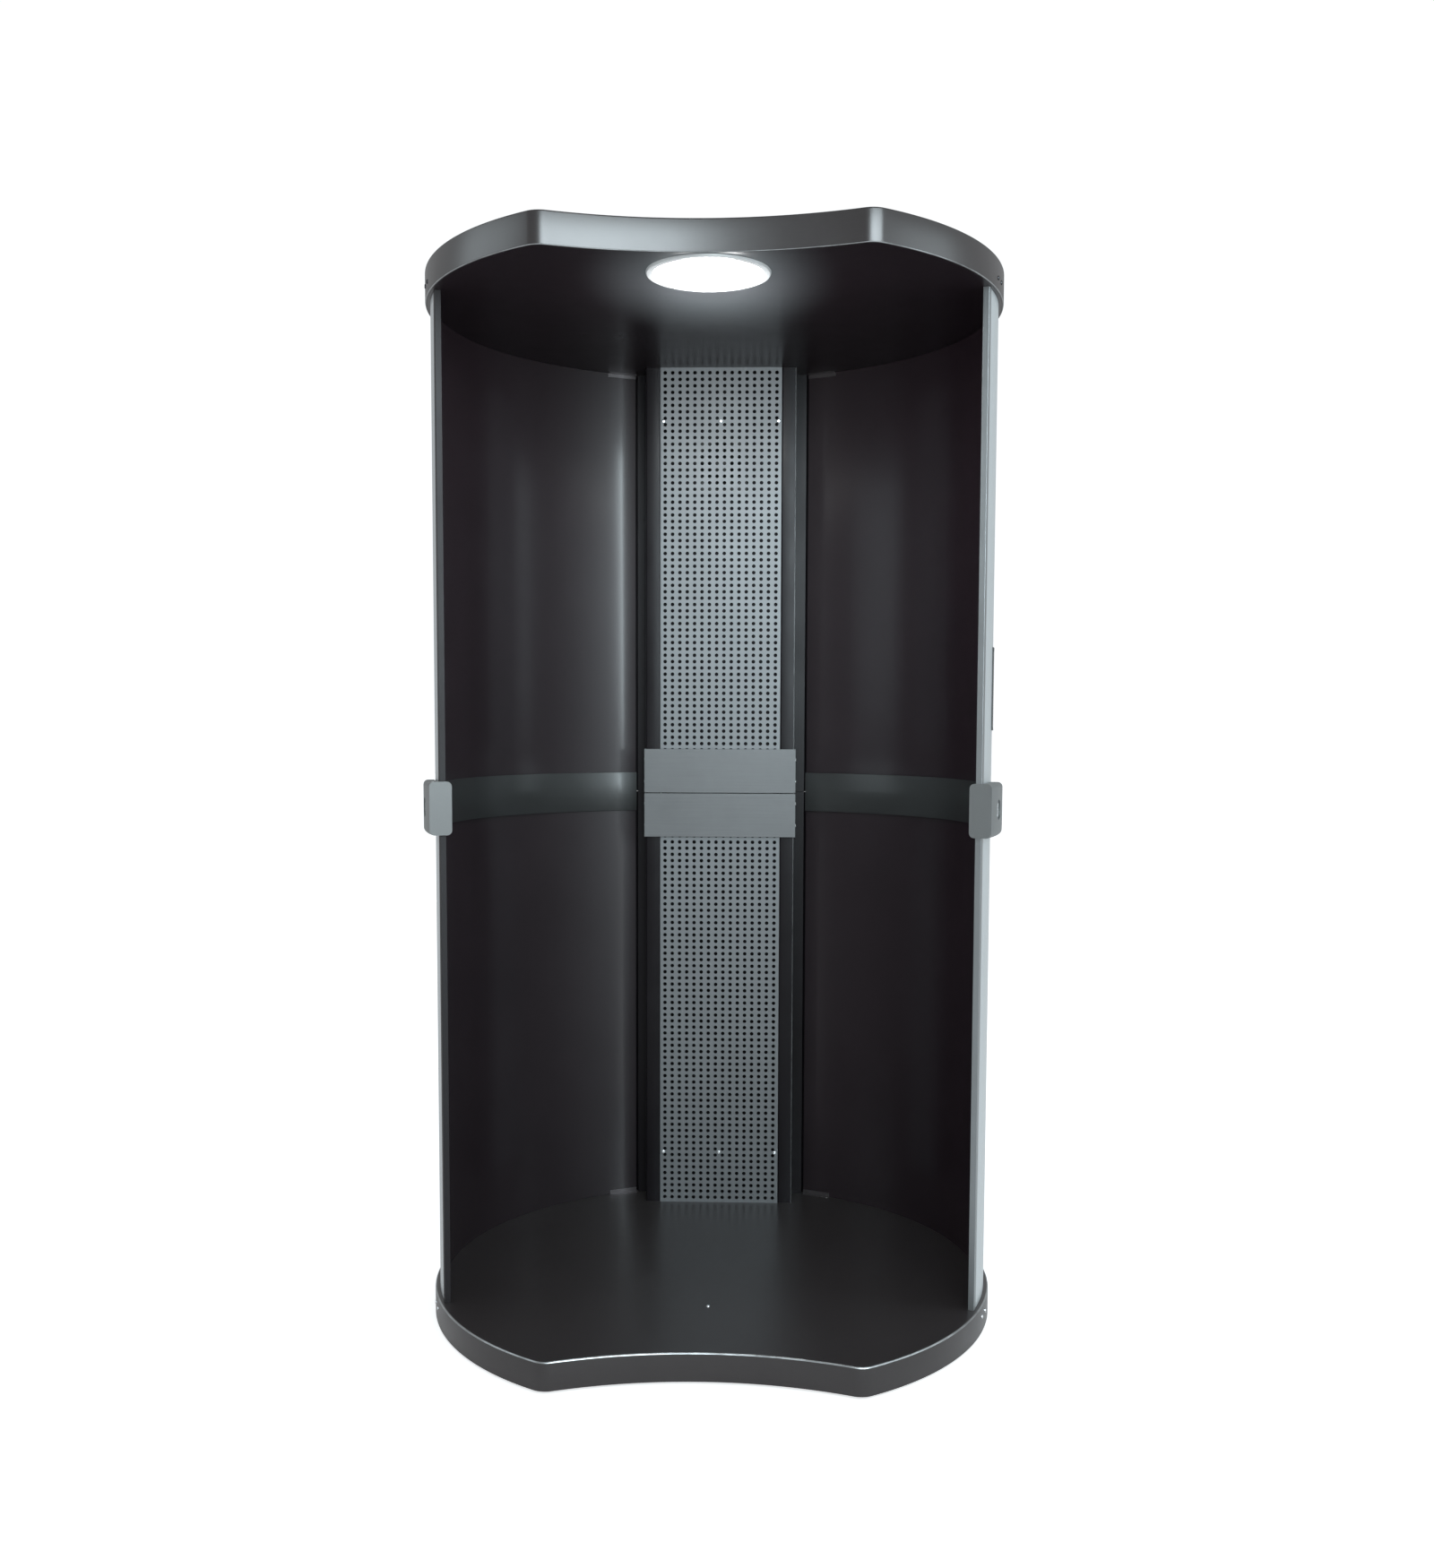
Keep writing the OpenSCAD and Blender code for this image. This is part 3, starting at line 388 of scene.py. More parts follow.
def paint_glow_on(material, strength):
    """Paints a soft glow of light on the ceiling round the light, as emission in its finish, in place of the
    light that the cover spills along the satin paint.
    """
    n = Nodes(material.node_tree)
    place = n.node("ShaderNodeTexCoord", out="Object")
    distance = distance_from(n, place, (0, LIGHT_Y + PAINTED_GLOW_BACK, CEILING_Z), PAINTED_GLOW_SHAPE)
    ends = {"Value": distance, FROM_LOW: LIGHT_R * MM, FROM_HIGH: PAINTED_GLOW_END, TO_LOW: 1.0, TO_HIGH: 0.0}
    near = n.node("ShaderNodeMapRange", {}, ends)
    shader = feed_glow(material, n, near * near, grey(0), PAINTED_GLOW_COLOUR)
    shader.inputs["Emission Strength"].default_value = strength


FINISHES["diffuser"] = glowing_cover(31.0)
# painted light: the ceiling's finish glows faintly round the light
paint_glow_on(FINISHES["ceiling_black"], 0.17)
print("glowing cover ready, light at y =", round(LIGHT_Y, 1), "mm")

# %% [markdown]
# ## Making pieces
# A finished piece rides on a body, stands in for a node of the imported model, and takes its
# finish from that node's slot. Sharp folded or sawn edges catch a thin line of light only if
# they are slightly rounded, so a piece can get a small bevel on its hard edges where its shape is not rounded
# already.

# %% Helpers that turn meshes into finished pieces
SLOT = {part["node"]: part["material_slot"] for part in frame["record"]["subparts"]}
NODE_OBJECTS = frame["nodes"]


def soft_edges(obj, width, segments=2, limit=32):
    """Smooth faces, with every edge that is sharper than the limit rounded by width millimetres."""
    obj.data.shade_smooth()
    obj.data.set_sharp_from_angle(angle=math.radians(limit))
    if width:
        bevel = obj.modifiers.new("rounded edges", "BEVEL")
        bevel.width, bevel.segments = width * MM, segments
        bevel.limit_method, bevel.angle_limit = "ANGLE", math.radians(limit)
        bevel.harden_normals = True


def new_piece(name, mesh, body, slot, stands_for=(), width=0.0):
    """Puts a mesh in the scene as a piece that rides on a body and stands in for some nodes."""
    obj = linked(name, mesh)
    mesh.materials.clear()
    mesh.materials.append(FINISHES[slot])
    soft_edges(obj, width)
    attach(obj, body)
    if stands_for:
        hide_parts(*stands_for)
    return obj


def piece_for(node, mesh, width=0.0):
    """A piece in place of one node, on the node's body and in its slot."""
    return new_piece(node + "_piece", mesh, NODE_OBJECTS[node]["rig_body"], SLOT[node], (node,), width)


def second_finish(obj, finish_name, belongs):
    """Gives the faces that pass a test a second finish."""
    obj.data.materials.append(FINISHES[finish_name])
    for face in obj.data.polygons:
        if belongs(face):
            face.material_index = 1


def mesh_of(name, points, faces):
    """A mesh from points in millimetres, with doubles merged and faces turned outwards."""
    mesh = bpy.data.meshes.new(name)
    mesh.from_pydata([tuple(c * MM for c in p) for p in points], [], faces)
    work = bmesh.new()
    work.from_mesh(mesh)
    bmesh.ops.remove_doubles(work, verts=work.verts, dist=1e-6)
    bmesh.ops.recalc_face_normals(work, faces=work.faces)
    work.to_mesh(mesh)
    work.free()
    return mesh


MERGE_DISTANCE, FLAT_ANGLE = 2e-6, math.radians(0.4)


def finished_copy(node, width):
    """The node's own shape as a merged mesh of flat faces, with its edges rounded."""
    work = bmesh.new()
    work.from_mesh(NODE_OBJECTS[node].data)
    bmesh.ops.remove_doubles(work, verts=work.verts, dist=MERGE_DISTANCE)
    bmesh.ops.dissolve_limit(
        work, angle_limit=FLAT_ANGLE, use_dissolve_boundaries=False, verts=work.verts, edges=work.edges
    )
    mesh = bpy.data.meshes.new(node + "_piece")
    work.to_mesh(mesh)
    work.free()
    for attribute in [a.name for a in mesh.attributes if "normal" in a.name]:
        mesh.attributes.remove(mesh.attributes[attribute])
    piece_for(node, mesh, width)


print("helpers for pieces ready")

# %% [markdown]
# ## Base and cap shells
# Both are pressed from sheet to one outline: a circle, cut across the front by a larger circle, with
# rounded corners. A bevel would do for their edge, but the edge is what shows most on the real base,
# as one thin bright line. So the shells are lofted: the same outline, drawn at several
# insets and heights, is joined ring by ring, and the rings near the edge follow a quarter circle.


# %% Lofted shells
def outline(inset, z, rim_steps=220, cut_steps=72, corner_steps=12):
    """The booth's outline as a closed ring of points, anticlockwise from above."""
    half_cut = math.atan2(CORNER_X, CORNER_Y + CUT_D)
    ring = []
    for i in range(cut_steps):
        t = -half_cut + 2 * half_cut * i / cut_steps
        ring.append(((CUT_R + inset) * math.sin(t), (CUT_R + inset) * math.cos(t) - CUT_D, z))
    start = math.atan2(-CUT_D - CORNER_Y, -CORNER_X)
    end = math.atan2(CORNER_Y, CORNER_X)

    def corner(side, first, last):
        for i in range(corner_steps):
            t = first + (last - first) * i / corner_steps
            r = CORNER_R - inset
            ring.append((side * CORNER_X + r * math.cos(t), CORNER_Y + r * math.sin(t), z))

    corner(1, start, end)
    for i in range(rim_steps):
        t = end + (math.pi - 2 * end) * i / rim_steps
        ring.append(((RIM_R - inset) * math.cos(t), (RIM_R - inset) * math.sin(t), z))
    corner(-1, math.pi - end, math.pi - start)
    return [(x, y + AXIS_Y, z) for x, y, z in ring]


def faces_between(rings, count):
    """Faces that join each ring of points to the ring above it."""
    faces = []
    for k in range(rings - 1):
        for i in range(count):
            j = (i + 1) % count
            faces.append([k * count + i, k * count + j, (k + 1) * count + j, (k + 1) * count + i])
    return faces


def end_faces(rings, count):
    """The two caps of a stack of rings."""
    return [list(reversed(range(count))), [(rings - 1) * count + i for i in range(count)]]


def loft(name, steps):
    """A closed skin through the outline at each (inset, height) in turn."""
    rings = [outline(inset, z) for inset, z in steps]
    count = len(rings[0])
    first_cap, last_cap = end_faces(len(rings), count)
    faces = [first_cap] + faces_between(len(rings), count) + [last_cap]
    return mesh_of(name, [p for ring in rings for p in ring], faces)


def upper_round(radius, z_side, steps=5):
    """(inset, height) steps of a rounded upper edge, from the side to the top."""
    turns = [math.pi / 2 * i / steps for i in range(steps + 1)]
    return [(radius * (1 - math.cos(t)), z_side + radius * math.sin(t)) for t in turns]


def lower_round(radius, z_edge, steps=4):
    """(inset, height) steps of a rounded lower edge, from underneath to the side."""
    turns = [math.pi / 2 * i / steps for i in range(steps + 1)]
    return [(radius * (1 - math.sin(t)), z_edge + radius * (1 - math.cos(t))) for t in turns]


def shell_mesh(name, bottom, top, lip, edge):
    """A pressed shell, open below: its inside, its lower lip, its side and its rounded top edge."""
    steps = [(SHELL_T + 2, top - SHELL_T), (SHELL_T, top - SHELL_T), (SHELL_T, top - SHELL_T - 2)]
    steps += [(SHELL_T, bottom)] + lower_round(lip, bottom)
    steps += upper_round(edge, top - edge) + [(edge + 2, top)]
    return loft(name, steps)


BASE_EDGE, BASE_LIP, CAP_EDGE, CAP_LIP = 4.0, 1.2, 3.0, 2.4
piece_for("base_shell", shell_mesh("base_shell_piece", SKIRT_LIFT, BASE_H, BASE_LIP, BASE_EDGE))
cap_mesh = shell_mesh("cap_shell_piece", CEILING_Z, CEILING_Z + CAP_H, CAP_LIP, CAP_EDGE)
piece_for("cap_shell", cap_mesh)
print("cap shell lofted with", len(cap_mesh.polygons), "faces")

# %% [markdown]
# The turns of the base's upper edge and the cap's lower edge get the bright edge paint, on the
# leaning faces only: a painted highlight, the thin bright line that a rounded edge catches.

# %% Turns with a painted highlight
LEAN_FROM, LEAN_TO = 0.3, 0.93


def paint_turn_highlight(name, z_low, z_high, facing):
    """Gives the turn of a rounded edge between two heights the bright paint of a painted highlight."""

    def on_the_turn(face):
        between = z_low < face.center.z / MM < z_high
        return between and LEAN_FROM < face.normal.z * facing < LEAN_TO

    second_finish(bpy.data.objects[name], "highlight_edge_paint", on_the_turn)


# painted highlight on the base's upper turn and the cap's lower turn
paint_turn_highlight("base_shell_piece", BASE_H - BASE_EDGE, BASE_H, 1)
paint_turn_highlight("cap_shell_piece", CEILING_Z, CEILING_Z + CAP_LIP, -1)
print("highlight turns from", BASE_H - BASE_EDGE, "and", CEILING_Z, "mm")

# %% [markdown]
# ## Perforated spine panels
# Each half of the spine carries a grey sheet with a regular field of round holes. The sheet is one
# small square tile with a hole, repeated: Geometry Nodes place it on a grid, realise the copies and
# weld their edges. The holes are real, so they show depth and let you see the dark behind.


# %% A tree that repeats one shape
def repeat_tree(name, build_points, extra=()):
    """A Geometry Nodes tree that puts the input Shape on points and ends in a plain mesh."""
    tree = bpy.data.node_groups.new(name, "GeometryNodeTree")
    face = tree.interface
    face.new_socket("Geometry", in_out="OUTPUT", socket_type="NodeSocketGeometry")
    for label, kind in (("Geometry", "Geometry"), ("Shape", "Object"), ("Finish", "Material"), *extra):
        face.new_socket(label, in_out="INPUT", socket_type="NodeSocket" + kind)
    n = Nodes(tree)
    given = n.node("NodeGroupInput", out="Geometry")
    points, turn = build_points(n, given)
    shape = n.node("GeometryNodeObjectInfo", {}, {"Object": given.other("Shape")}, "Geometry")
    placing = {"Points": points, "Instance": shape, "Rotation": turn}
    copies = n.node("GeometryNodeInstanceOnPoints", {}, placing, "Instances")
    plain = n.node("GeometryNodeRealizeInstances", {}, {"Geometry": copies})
    welded = n.node("GeometryNodeMergeByDistance", {}, {"Geometry": plain, "Distance": 1e-5})
    done = n.node("GeometryNodeSetMaterial", {}, {"Geometry": welded, "Material": given.other("Finish")})
    n.node("NodeGroupOutput", {}, {"Geometry": done})
    return tree


def run_tree(tree, start_mesh, inputs):
    """Evaluates the tree on start_mesh with named inputs and returns the result as a plain mesh."""
    host = linked("host", start_mesh)
    modifier = host.modifiers.new("repeat", "NODES")
    modifier.node_group = tree
    for item in tree.interface.items_tree:
        if item.item_type == "SOCKET" and item.in_out == "INPUT" and item.name in inputs:
            modifier[item.identifier] = inputs[item.name]
    depsgraph = bpy.context.evaluated_depsgraph_get()
    mesh = bpy.data.meshes.new_from_object(host.evaluated_get(depsgraph))
    host.modifiers.remove(modifier)
    bpy.data.objects.remove(host)
    return mesh


print("repeat tree ready")

# %% The hole tile and its grid
PANEL_W, SHEET_T, PANEL_FLANGE = 287.0, 2.0, 18.0
COLUMNS, ROWS, PITCH_X, PITCH_Z, HOLE_R = 16, 66, 17.5, 15.0, 4.4
PANEL_Y = (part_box("lower_perforated_panel")[0] / MM).y


def hole_tile():
    """A square of sheet with a round hole: a front, a back and the hole's wall."""
    edge = [(-1, -1), (-0.5, -1), (0, -1), (0.5, -1), (1, -1), (1, -0.5), (1, 0), (1, 0.5)]
    edge += [(-x, -z) for x, z in edge]
    sides = len(edge)
    points, faces = [], []
    for y in (0, SHEET_T):
        points += [(x * PITCH_X / 2, y, z * PITCH_Z / 2) for x, z in edge]
        for x, z in edge:
            t = math.atan2(z, x)
            points.append((HOLE_R * math.cos(t), y, HOLE_R * math.sin(t)))
    for i in range(sides):
        j = (i + 1) % sides
        faces.append([i, j, sides + j, sides + i])
        faces.append([2 * sides + j, 2 * sides + i, 3 * sides + i, 3 * sides + j])
        faces.append([sides + i, sides + j, 3 * sides + j, 3 * sides + i])
    mesh = bpy.data.meshes.new("hole tile")
    mesh.from_pydata([tuple(c * MM for c in p) for p in points], [], faces)
    return mesh


def grid_points(n, given):
    """The middles of the tiles: a level grid, stood upright and moved to the middle of the sheet."""
    size = {
        "Size X": (given.other("Columns") - 1) * given.other("Pitch Across"),
        "Size Y": (given.other("Rows") - 1) * given.other("Pitch Up"),
        "Vertices X": given.other("Columns"),
        "Vertices Y": given.other("Rows"),
    }
    flat = n.node("GeometryNodeMeshGrid", {}, size, "Mesh")
    upright = n.node("GeometryNodeTransform", {}, {"Geometry": flat, "Rotation": (math.pi / 2, 0, 0)})
    placed = n.node("GeometryNodeTransform", {}, {"Geometry": upright, "Translation": given.other("Middle")})
    return placed, None


panel_inputs = (("Columns", "Int"), ("Rows", "Int"), ("Pitch Across", "Float"), ("Pitch Up", "Float"))
panel_tree = repeat_tree("perforated field", grid_points, (*panel_inputs, ("Middle", "Vector")))
print("hole tile", PITCH_X, "by", PITCH_Z, "mm, hole", 2 * HOLE_R, "mm across")

# %% [markdown]
# Round the holes the sheet stays plain, and its two long sides are folded back as flanges.
# The margins are prisms and boxes, and the field's open edges are closed, so the sheet is solid.


# %% The whole sheet
def box_points(x0, y0, z0, x1, y1, z1):
    corners = [(x, y, z) for z in (z0, z1) for y in (y0, y1) for x in (x0, x1)]
    faces = [(0, 2, 3, 1), (4, 5, 7, 6), (0, 1, 5, 4), (2, 6, 7, 3), (0, 4, 6, 2), (1, 3, 7, 5)]
    return corners, [list(f) for f in faces]


def prism(outline_points, z0, z1):
    """An upright prism over a closed outline."""
    count = len(outline_points)
    points = [(x, y, z) for z in (z0, z1) for x, y in outline_points]
    faces = [list(reversed(range(count))), list(range(count, 2 * count))]
    faces += [[i, (i + 1) % count, count + (i + 1) % count, count + i] for i in range(count)]
    return points, faces


def joined(parts):
    points, faces = [], []
    for more_points, more_faces in parts:
        start = len(points)
        points += more_points
        faces += [[start + i for i in f] for f in more_faces]
    return points, faces


def panel_border(z0, z1):
    """The plain margins of the sheet and its two folded flanges."""
    half, field = PANEL_W / 2, COLUMNS * PITCH_X / 2
    y0, y1 = PANEL_Y, PANEL_Y + SHEET_T
    fold = [(field, y0), (half - 1, y0), (half - 0.3, y0 + 0.3), (half, y0 + 1), (half, y0 + PANEL_FLANGE)]
    fold += [(half - SHEET_T, y0 + PANEL_FLANGE), (half - SHEET_T, y1), (field, y1)]
    middle = (z0 + z1) / 2
    field_z = ROWS * PITCH_Z / 2
    parts = [prism(fold, z0, z1), prism([(-x, y) for x, y in reversed(fold)], z0, z1)]
    parts.append(box_points(-field, y0, z0, field, y1, middle - field_z))
    parts.append(box_points(-field, y0, middle + field_z, field, y1, z1))
    return joined(parts)


def close_rim(work, y0, y1):
    """Joins the open front and back edges of the field of holes, between depths y0 and y1."""
    work.verts.ensure_lookup_table()
    partner = {(round(v.co.x, 5), round(v.co.z, 5)): v for v in work.verts if v.co.y > (y0 + y1) / 2}
    for edge in [e for e in work.edges if e.is_boundary]:
        a, b = edge.verts
        if a.co.y < (y0 + y1) / 2 and b.co.y < (y0 + y1) / 2:
            back = [partner[(round(v.co.x, 5), round(v.co.z, 5))] for v in (b, a)]
            work.faces.new([a, b, *back])


def perforated_panel(node):
    """The whole sheet of one half: the field of holes and its plain margins, as one piece."""
    low_corner, high_corner = (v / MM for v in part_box(node))
    middle = (0, PANEL_Y * MM, (low_corner.z + high_corner.z) / 2 * MM)
    tile = linked("tile", hole_tile())
    settings = {"Shape": tile, "Finish": FINISHES["perforated_sheet"], "Columns": COLUMNS, "Rows": ROWS}
    settings.update({"Pitch Across": PITCH_X * MM, "Pitch Up": PITCH_Z * MM, "Middle": middle})
    field = run_tree(panel_tree, bpy.data.meshes.new("start"), settings)
    bpy.data.objects.remove(tile)
    work = bmesh.new()
    work.from_mesh(field)
    close_rim(work, PANEL_Y * MM, (PANEL_Y + SHEET_T) * MM)
    border = mesh_of("border", *panel_border(low_corner.z, high_corner.z))
    work.from_mesh(border)
    bmesh.ops.recalc_face_normals(work, faces=work.faces)
    mesh = bpy.data.meshes.new(node + "_piece")
    work.to_mesh(mesh)
    work.free()
    piece_for(node, mesh)
    print(node, "has", COLUMNS * ROWS, "holes and", len(mesh.polygons), "faces")


for half in ("lower", "upper"):
    perforated_panel(half + "_perforated_panel")

# %% [markdown]
# ## Screws
# The booth is screwed together with small pan heads. One screw is turned on a lathe: a profile of
# radii and heights, spun round, with a six-sided socket sunk into the top. A tree then puts it on
# every screw place and turns it to the direction stored on that point.


# %% A lathe and the screw
def lathe(profile, sides=24, hexagonal=()):
    """Spins (radius, height) points about z; rings whose number is in hexagonal are six-sided."""
    points = []
    for k, (r, z) in enumerate(profile):
        for i in range(sides):
            t = 2 * math.pi * i / sides
            six = math.cos(math.pi / 6) / math.cos(t % (math.pi / 3) - math.pi / 6)
            reach = r * (six if k in hexagonal else 1)
            points.append((reach * math.cos(t), reach * math.sin(t), z))
    return points, faces_between(len(profile), sides) + end_faces(len(profile), sides)


SCREW_HEAD = [(4.5, 0), (4.5, 0.5), (4.25, 1.2), (3.7, 1.7), (2.9, 2.0), (2.1, 2.0), (2.0, 0.7)]
SOCKET_RINGS = (8, 9)


def screw_mesh(shank_r, length):
    """A pan head screw with a six-sided socket; its head stands on z = 0."""
    shank = [(shank_r * 0.7, -length), (shank_r, 0.7 - length), (shank_r, 0)]
    return mesh_of("screw", *lathe(shank + SCREW_HEAD, hexagonal=SOCKET_RINGS))


def aimed_points(n, given):
    """The input's own points, each with a turn towards its stored direction."""
    as_vector = {"data_type": "FLOAT_VECTOR"}
    aim = n.node("GeometryNodeInputNamedAttribute", as_vector, {"Name": "aim"}, "Attribute")
    turn = n.node("FunctionNodeAlignRotationToVector", {"axis": "Z"}, {"Vector": aim})
    return given, turn


aimed_tree = repeat_tree("one shape on aimed points", aimed_points)


def on_points(name, shape_mesh, places, body, slot, stands_for):
    """Copies of a shape at (place, direction) pairs, in millimetres, as one piece."""
    spots = bpy.data.meshes.new("spots")
    spots.from_pydata([tuple(c * MM for c in place) for place, _ in places], [], [])
    aim = spots.attributes.new("aim", "FLOAT_VECTOR", "POINT")
    for i, (_, direction) in enumerate(places):
        aim.data[i].vector = direction
    shape = linked("shape", shape_mesh)
    mesh = run_tree(aimed_tree, spots, {"Shape": shape, "Finish": FINISHES[slot]})
    bpy.data.objects.remove(shape)
    mesh.name = name
    return new_piece(name, mesh, body, slot, stands_for)


def round_place(angle, r, z):
    """A point at an angle from the open front, r from the booth's axis, and its outward direction."""
    t = math.radians(angle)
    out = (math.sin(t), -math.cos(t), 0)
    return (r * out[0], AXIS_Y + r * out[1], z), out


RIM_SCREW_ANGLES = (70.6, 74, 110, 146)
BASE_SCREW_Z, CAP_SCREW_Z = BASE_H - SHELL_T - 20, CEILING_Z + SHELL_T + 20
FLOOR_SCREW = (0, AXIS_Y - 220, BASE_H)
RIM_SHANK, SPINE_SHANK = (2.5, 10), (2.0, 4)


def rim_places(z):
    """Screw places on the rim at one height, the same on both sides."""
    return [round_place(side * a, RIM_R, z) for side in (-1, 1) for a in RIM_SCREW_ANGLES]


base_places = rim_places(BASE_SCREW_Z) + [(FLOOR_SCREW, (0, 0, 1))]
cap_places = rim_places(CAP_SCREW_Z)
screw = screw_mesh(*RIM_SHANK)
on_points("base_screw_set", screw, base_places, "lower_half", "bright_screw", ("base_screws",))
on_points("cap_screw_set", screw, cap_places, "upper_half", "dark_screw", ("cap_screws",))
print(len(base_places) + len(cap_places), "rim and floor screws")

# %% [markdown]
# In the spine, three screws hold each perforated sheet and two on each side hold each joint
# plate. They are shorter and thinner, because they only go through sheet.

# %% The spine's screws
POST_X, POST_W, PLATE_T, PLATE_H = PANEL_W / 2, 34.0, 3.0, 105.0
POST_Y = PANEL_Y + 3
SIDE_SCREW_X = POST_X + POST_W + PLATE_T
LOWER_ROW_Z, UPPER_ROW_Z = 184.0, 1936.0
rows = (("lower", LOWER_ROW_Z, JOINT_Z - PLATE_H), ("upper", UPPER_ROW_Z, JOINT_Z + 1))
for half, row_z, plate_z in rows:
    places = [((side * (POST_X - 8), PANEL_Y, row_z), (0, -1, 0)) for side in (-1, 0, 1)]
    for side in (-1, 1):
        for share in (0.25, 0.75):
            spot = (side * SIDE_SCREW_X, POST_Y + 14, plate_z + PLATE_H * share)
            places.append((spot, (side, 0, 0)))
    node = half + "_spine_screws"
    screw = screw_mesh(*SPINE_SHANK)
    on_points(half + "_spine_screw_set", screw, places, half + "_half", SLOT[node], (node,))
    print(node, "holds", len(places), "screws")

# %% [markdown]
# ## Ceiling light
# A white ring holds an opal cover in the ceiling. Both are turned shapes: the ring has a rounded
# lip, and the cover bulges a little, so that it also lights the ceiling around it.

# %% Bezel and glowing cover
ring_bottom = CEILING_Z - BEZEL_DROP
RING_GAP, COVER_BULGE, COVER_RINGS, LIGHT_SIDES = 0.3, 1.8, 12, 96
ring = [(DIFFUSER_R + RING_GAP, CEILING_Z), (DIFFUSER_R + RING_GAP, ring_bottom + 1)]
ring += [(DIFFUSER_R + 1.3, ring_bottom + 0.1)]
ring += [(DIFFUSER_R + 3, ring_bottom), (LIGHT_R - 4, ring_bottom), (LIGHT_R - 1.6, ring_bottom + 0.7)]
ring += [(LIGHT_R - 0.3, ring_bottom + 2.2), (LIGHT_R, ring_bottom + 3.5), (LIGHT_R, CEILING_Z)]


def swept_faces(count, steps, closed=False):
    """Faces along a swept closed section; a closed sweep has no end caps."""
    stops = steps if closed else steps + 1
    faces = []
    for i in range(steps):
        for k in range(count):
            a, b = i * count, (i + 1) % stops * count
            faces.append([a + k, b + k, b + (k + 1) % count, a + (k + 1) % count])
    if not closed:
        faces += [list(range(count)), [steps * count + k for k in reversed(range(count))]]
    return faces


def ring_mesh(name, profile, centre_y):
    """Spins a closed (radius, height) profile into a ring about an upright line."""
    points = []
    for i in range(LIGHT_SIDES):
        t = 2 * math.pi * i / LIGHT_SIDES
        points += [(r * math.cos(t), centre_y + r * math.sin(t), z) for r, z in profile]
    return mesh_of(name, points, swept_faces(len(profile), LIGHT_SIDES, closed=True))


piece_for("light_bezel", ring_mesh("bezel", ring, LIGHT_Y))

cover = [(0.5, ring_bottom + 0.2)]
for i in range(1, COVER_RINGS + 1):
    r = DIFFUSER_R * i / COVER_RINGS
    cover.append((r, ring_bottom + 0.2 + COVER_BULGE * (i / COVER_RINGS) ** 2))
cover.append((DIFFUSER_R, CEILING_Z))
cover_points, cover_faces = lathe(cover, LIGHT_SIDES)
cover_points = [(x, y + LIGHT_Y, z) for x, y, z in cover_points]
piece_for("light_diffuser", mesh_of("cover", cover_points, cover_faces))
print("light", 2 * LIGHT_R, "mm across, cover", 2 * DIFFUSER_R, "mm")

# %% [markdown]
# ## Rear louvres
# The rear cover breathes through slots. Above each slot a blade is pressed outwards, so that nothing
# drips or falls in. One blade follows the cover's curve, and the tree repeats it up the slots.

# %% Louvre blades
COVER_R, FAN_Z, LOUVRE_PITCH, LOUVRE_HALF = 577.3, CEILING_Z - 220, 16.0, 60


def curved_blade(half_width, profile, steps=24):
    """A thin blade whose (radius, height) section is swept round the booth's axis at the rear."""
    sweep = math.asin(half_width / COVER_R)
    points = []
    for i in range(steps + 1):
        t = math.pi / 2 - sweep + 2 * sweep * i / steps
        points += [(r * math.cos(t), AXIS_Y + r * math.sin(t), z) for r, z in profile]
    return mesh_of("blade", points, swept_faces(len(profile), steps))


stands_out = [(-1.5, 3.0), (0, 4.2), (2.2, 3.0), (3.8, 0.0), (4.2, -3.5)]
stands_out += [(3.2, -3.5), (2.8, -0.4), (1.4, 1.9)]
section = [(COVER_R + out, z) for out, z in stands_out]
blade_places = [((0, 0, FAN_Z + i * LOUVRE_PITCH), (0, 0, 1)) for i in range(-3, 4)]
blade = curved_blade(LOUVRE_HALF, section)
on_points("rear_louvre_blades", blade, blade_places, "upper_half", "outer_skin", ())
print(len(blade_places), "louvre blades")

# %% [markdown]
# ## Fan
# Behind the perforated sheet a small fan draws air out through the louvres. Seven curved blades
# stand round a hub. One blade is a thin, twisted sheet, made along one line and then turned to
# each of its places round the axle.

# %% Fan rotor
FAN_DEPTH, HUB_R, BLADE_R, FAN_BLADES = 38.0, 19.0, 52.0, 7
FAN_Y = (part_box("fan_frame")[0] / MM).y
ALONG, ACROSS, BLADE_T = 8, 6, 1.2


def fan_blade():
    """A thin, twisted and bent blade along +x, whose axle is z."""
    points, faces = [], []
    for side in (-1, 1):
        for i in range(ALONG + 1):
            r = HUB_R - 3 + (BLADE_R - HUB_R + 3) * i / ALONG
            pitch = math.radians(46 - 16 * i / ALONG)
            chord = 13 + 5 * i / ALONG
            c, s = math.cos(pitch), math.sin(pitch)
            for k in range(ACROSS + 1):
                u = -1 + 2 * k / ACROSS
                bow = 2.2 * (1 - u * u) + side * BLADE_T / 2 * (1 - 0.6 * u * u)
                points.append((r, u * chord * c - bow * s, u * chord * s + bow * c))
    layer, row = (ALONG + 1) * (ACROSS + 1), ACROSS + 1
    for i in range(ALONG):
        for k in range(ACROSS):
            a = i * row + k
            faces.append([a, a + row, a + row + 1, a + 1])
            faces.append([layer + a, layer + a + 1, layer + a + row + 1, layer + a + row])
    rim_path = [k for k in range(row)] + [i * row + ACROSS for i in range(1, ALONG + 1)]
    rim_path += [ALONG * row + k for k in range(ACROSS - 1, -1, -1)]
    rim_path += [i * row for i in range(ALONG - 1, 0, -1)]
    for a, b in zip(rim_path, rim_path[1:] + rim_path[:1]):
        faces.append([a, b, layer + b, layer + a])
    return points, faces


def about_axle(points, turn=0.0, lift=0.0):
    """Turns points that were made about z and stands them on the fan's axle, which runs along y."""
    c, s = math.cos(turn), math.sin(turn)
    turned = [(x * c - y * s, x * s + y * c, z + lift) for x, y, z in points]
    return [(x, FAN_Y + z, FAN_Z - y) for x, y, z in turned]


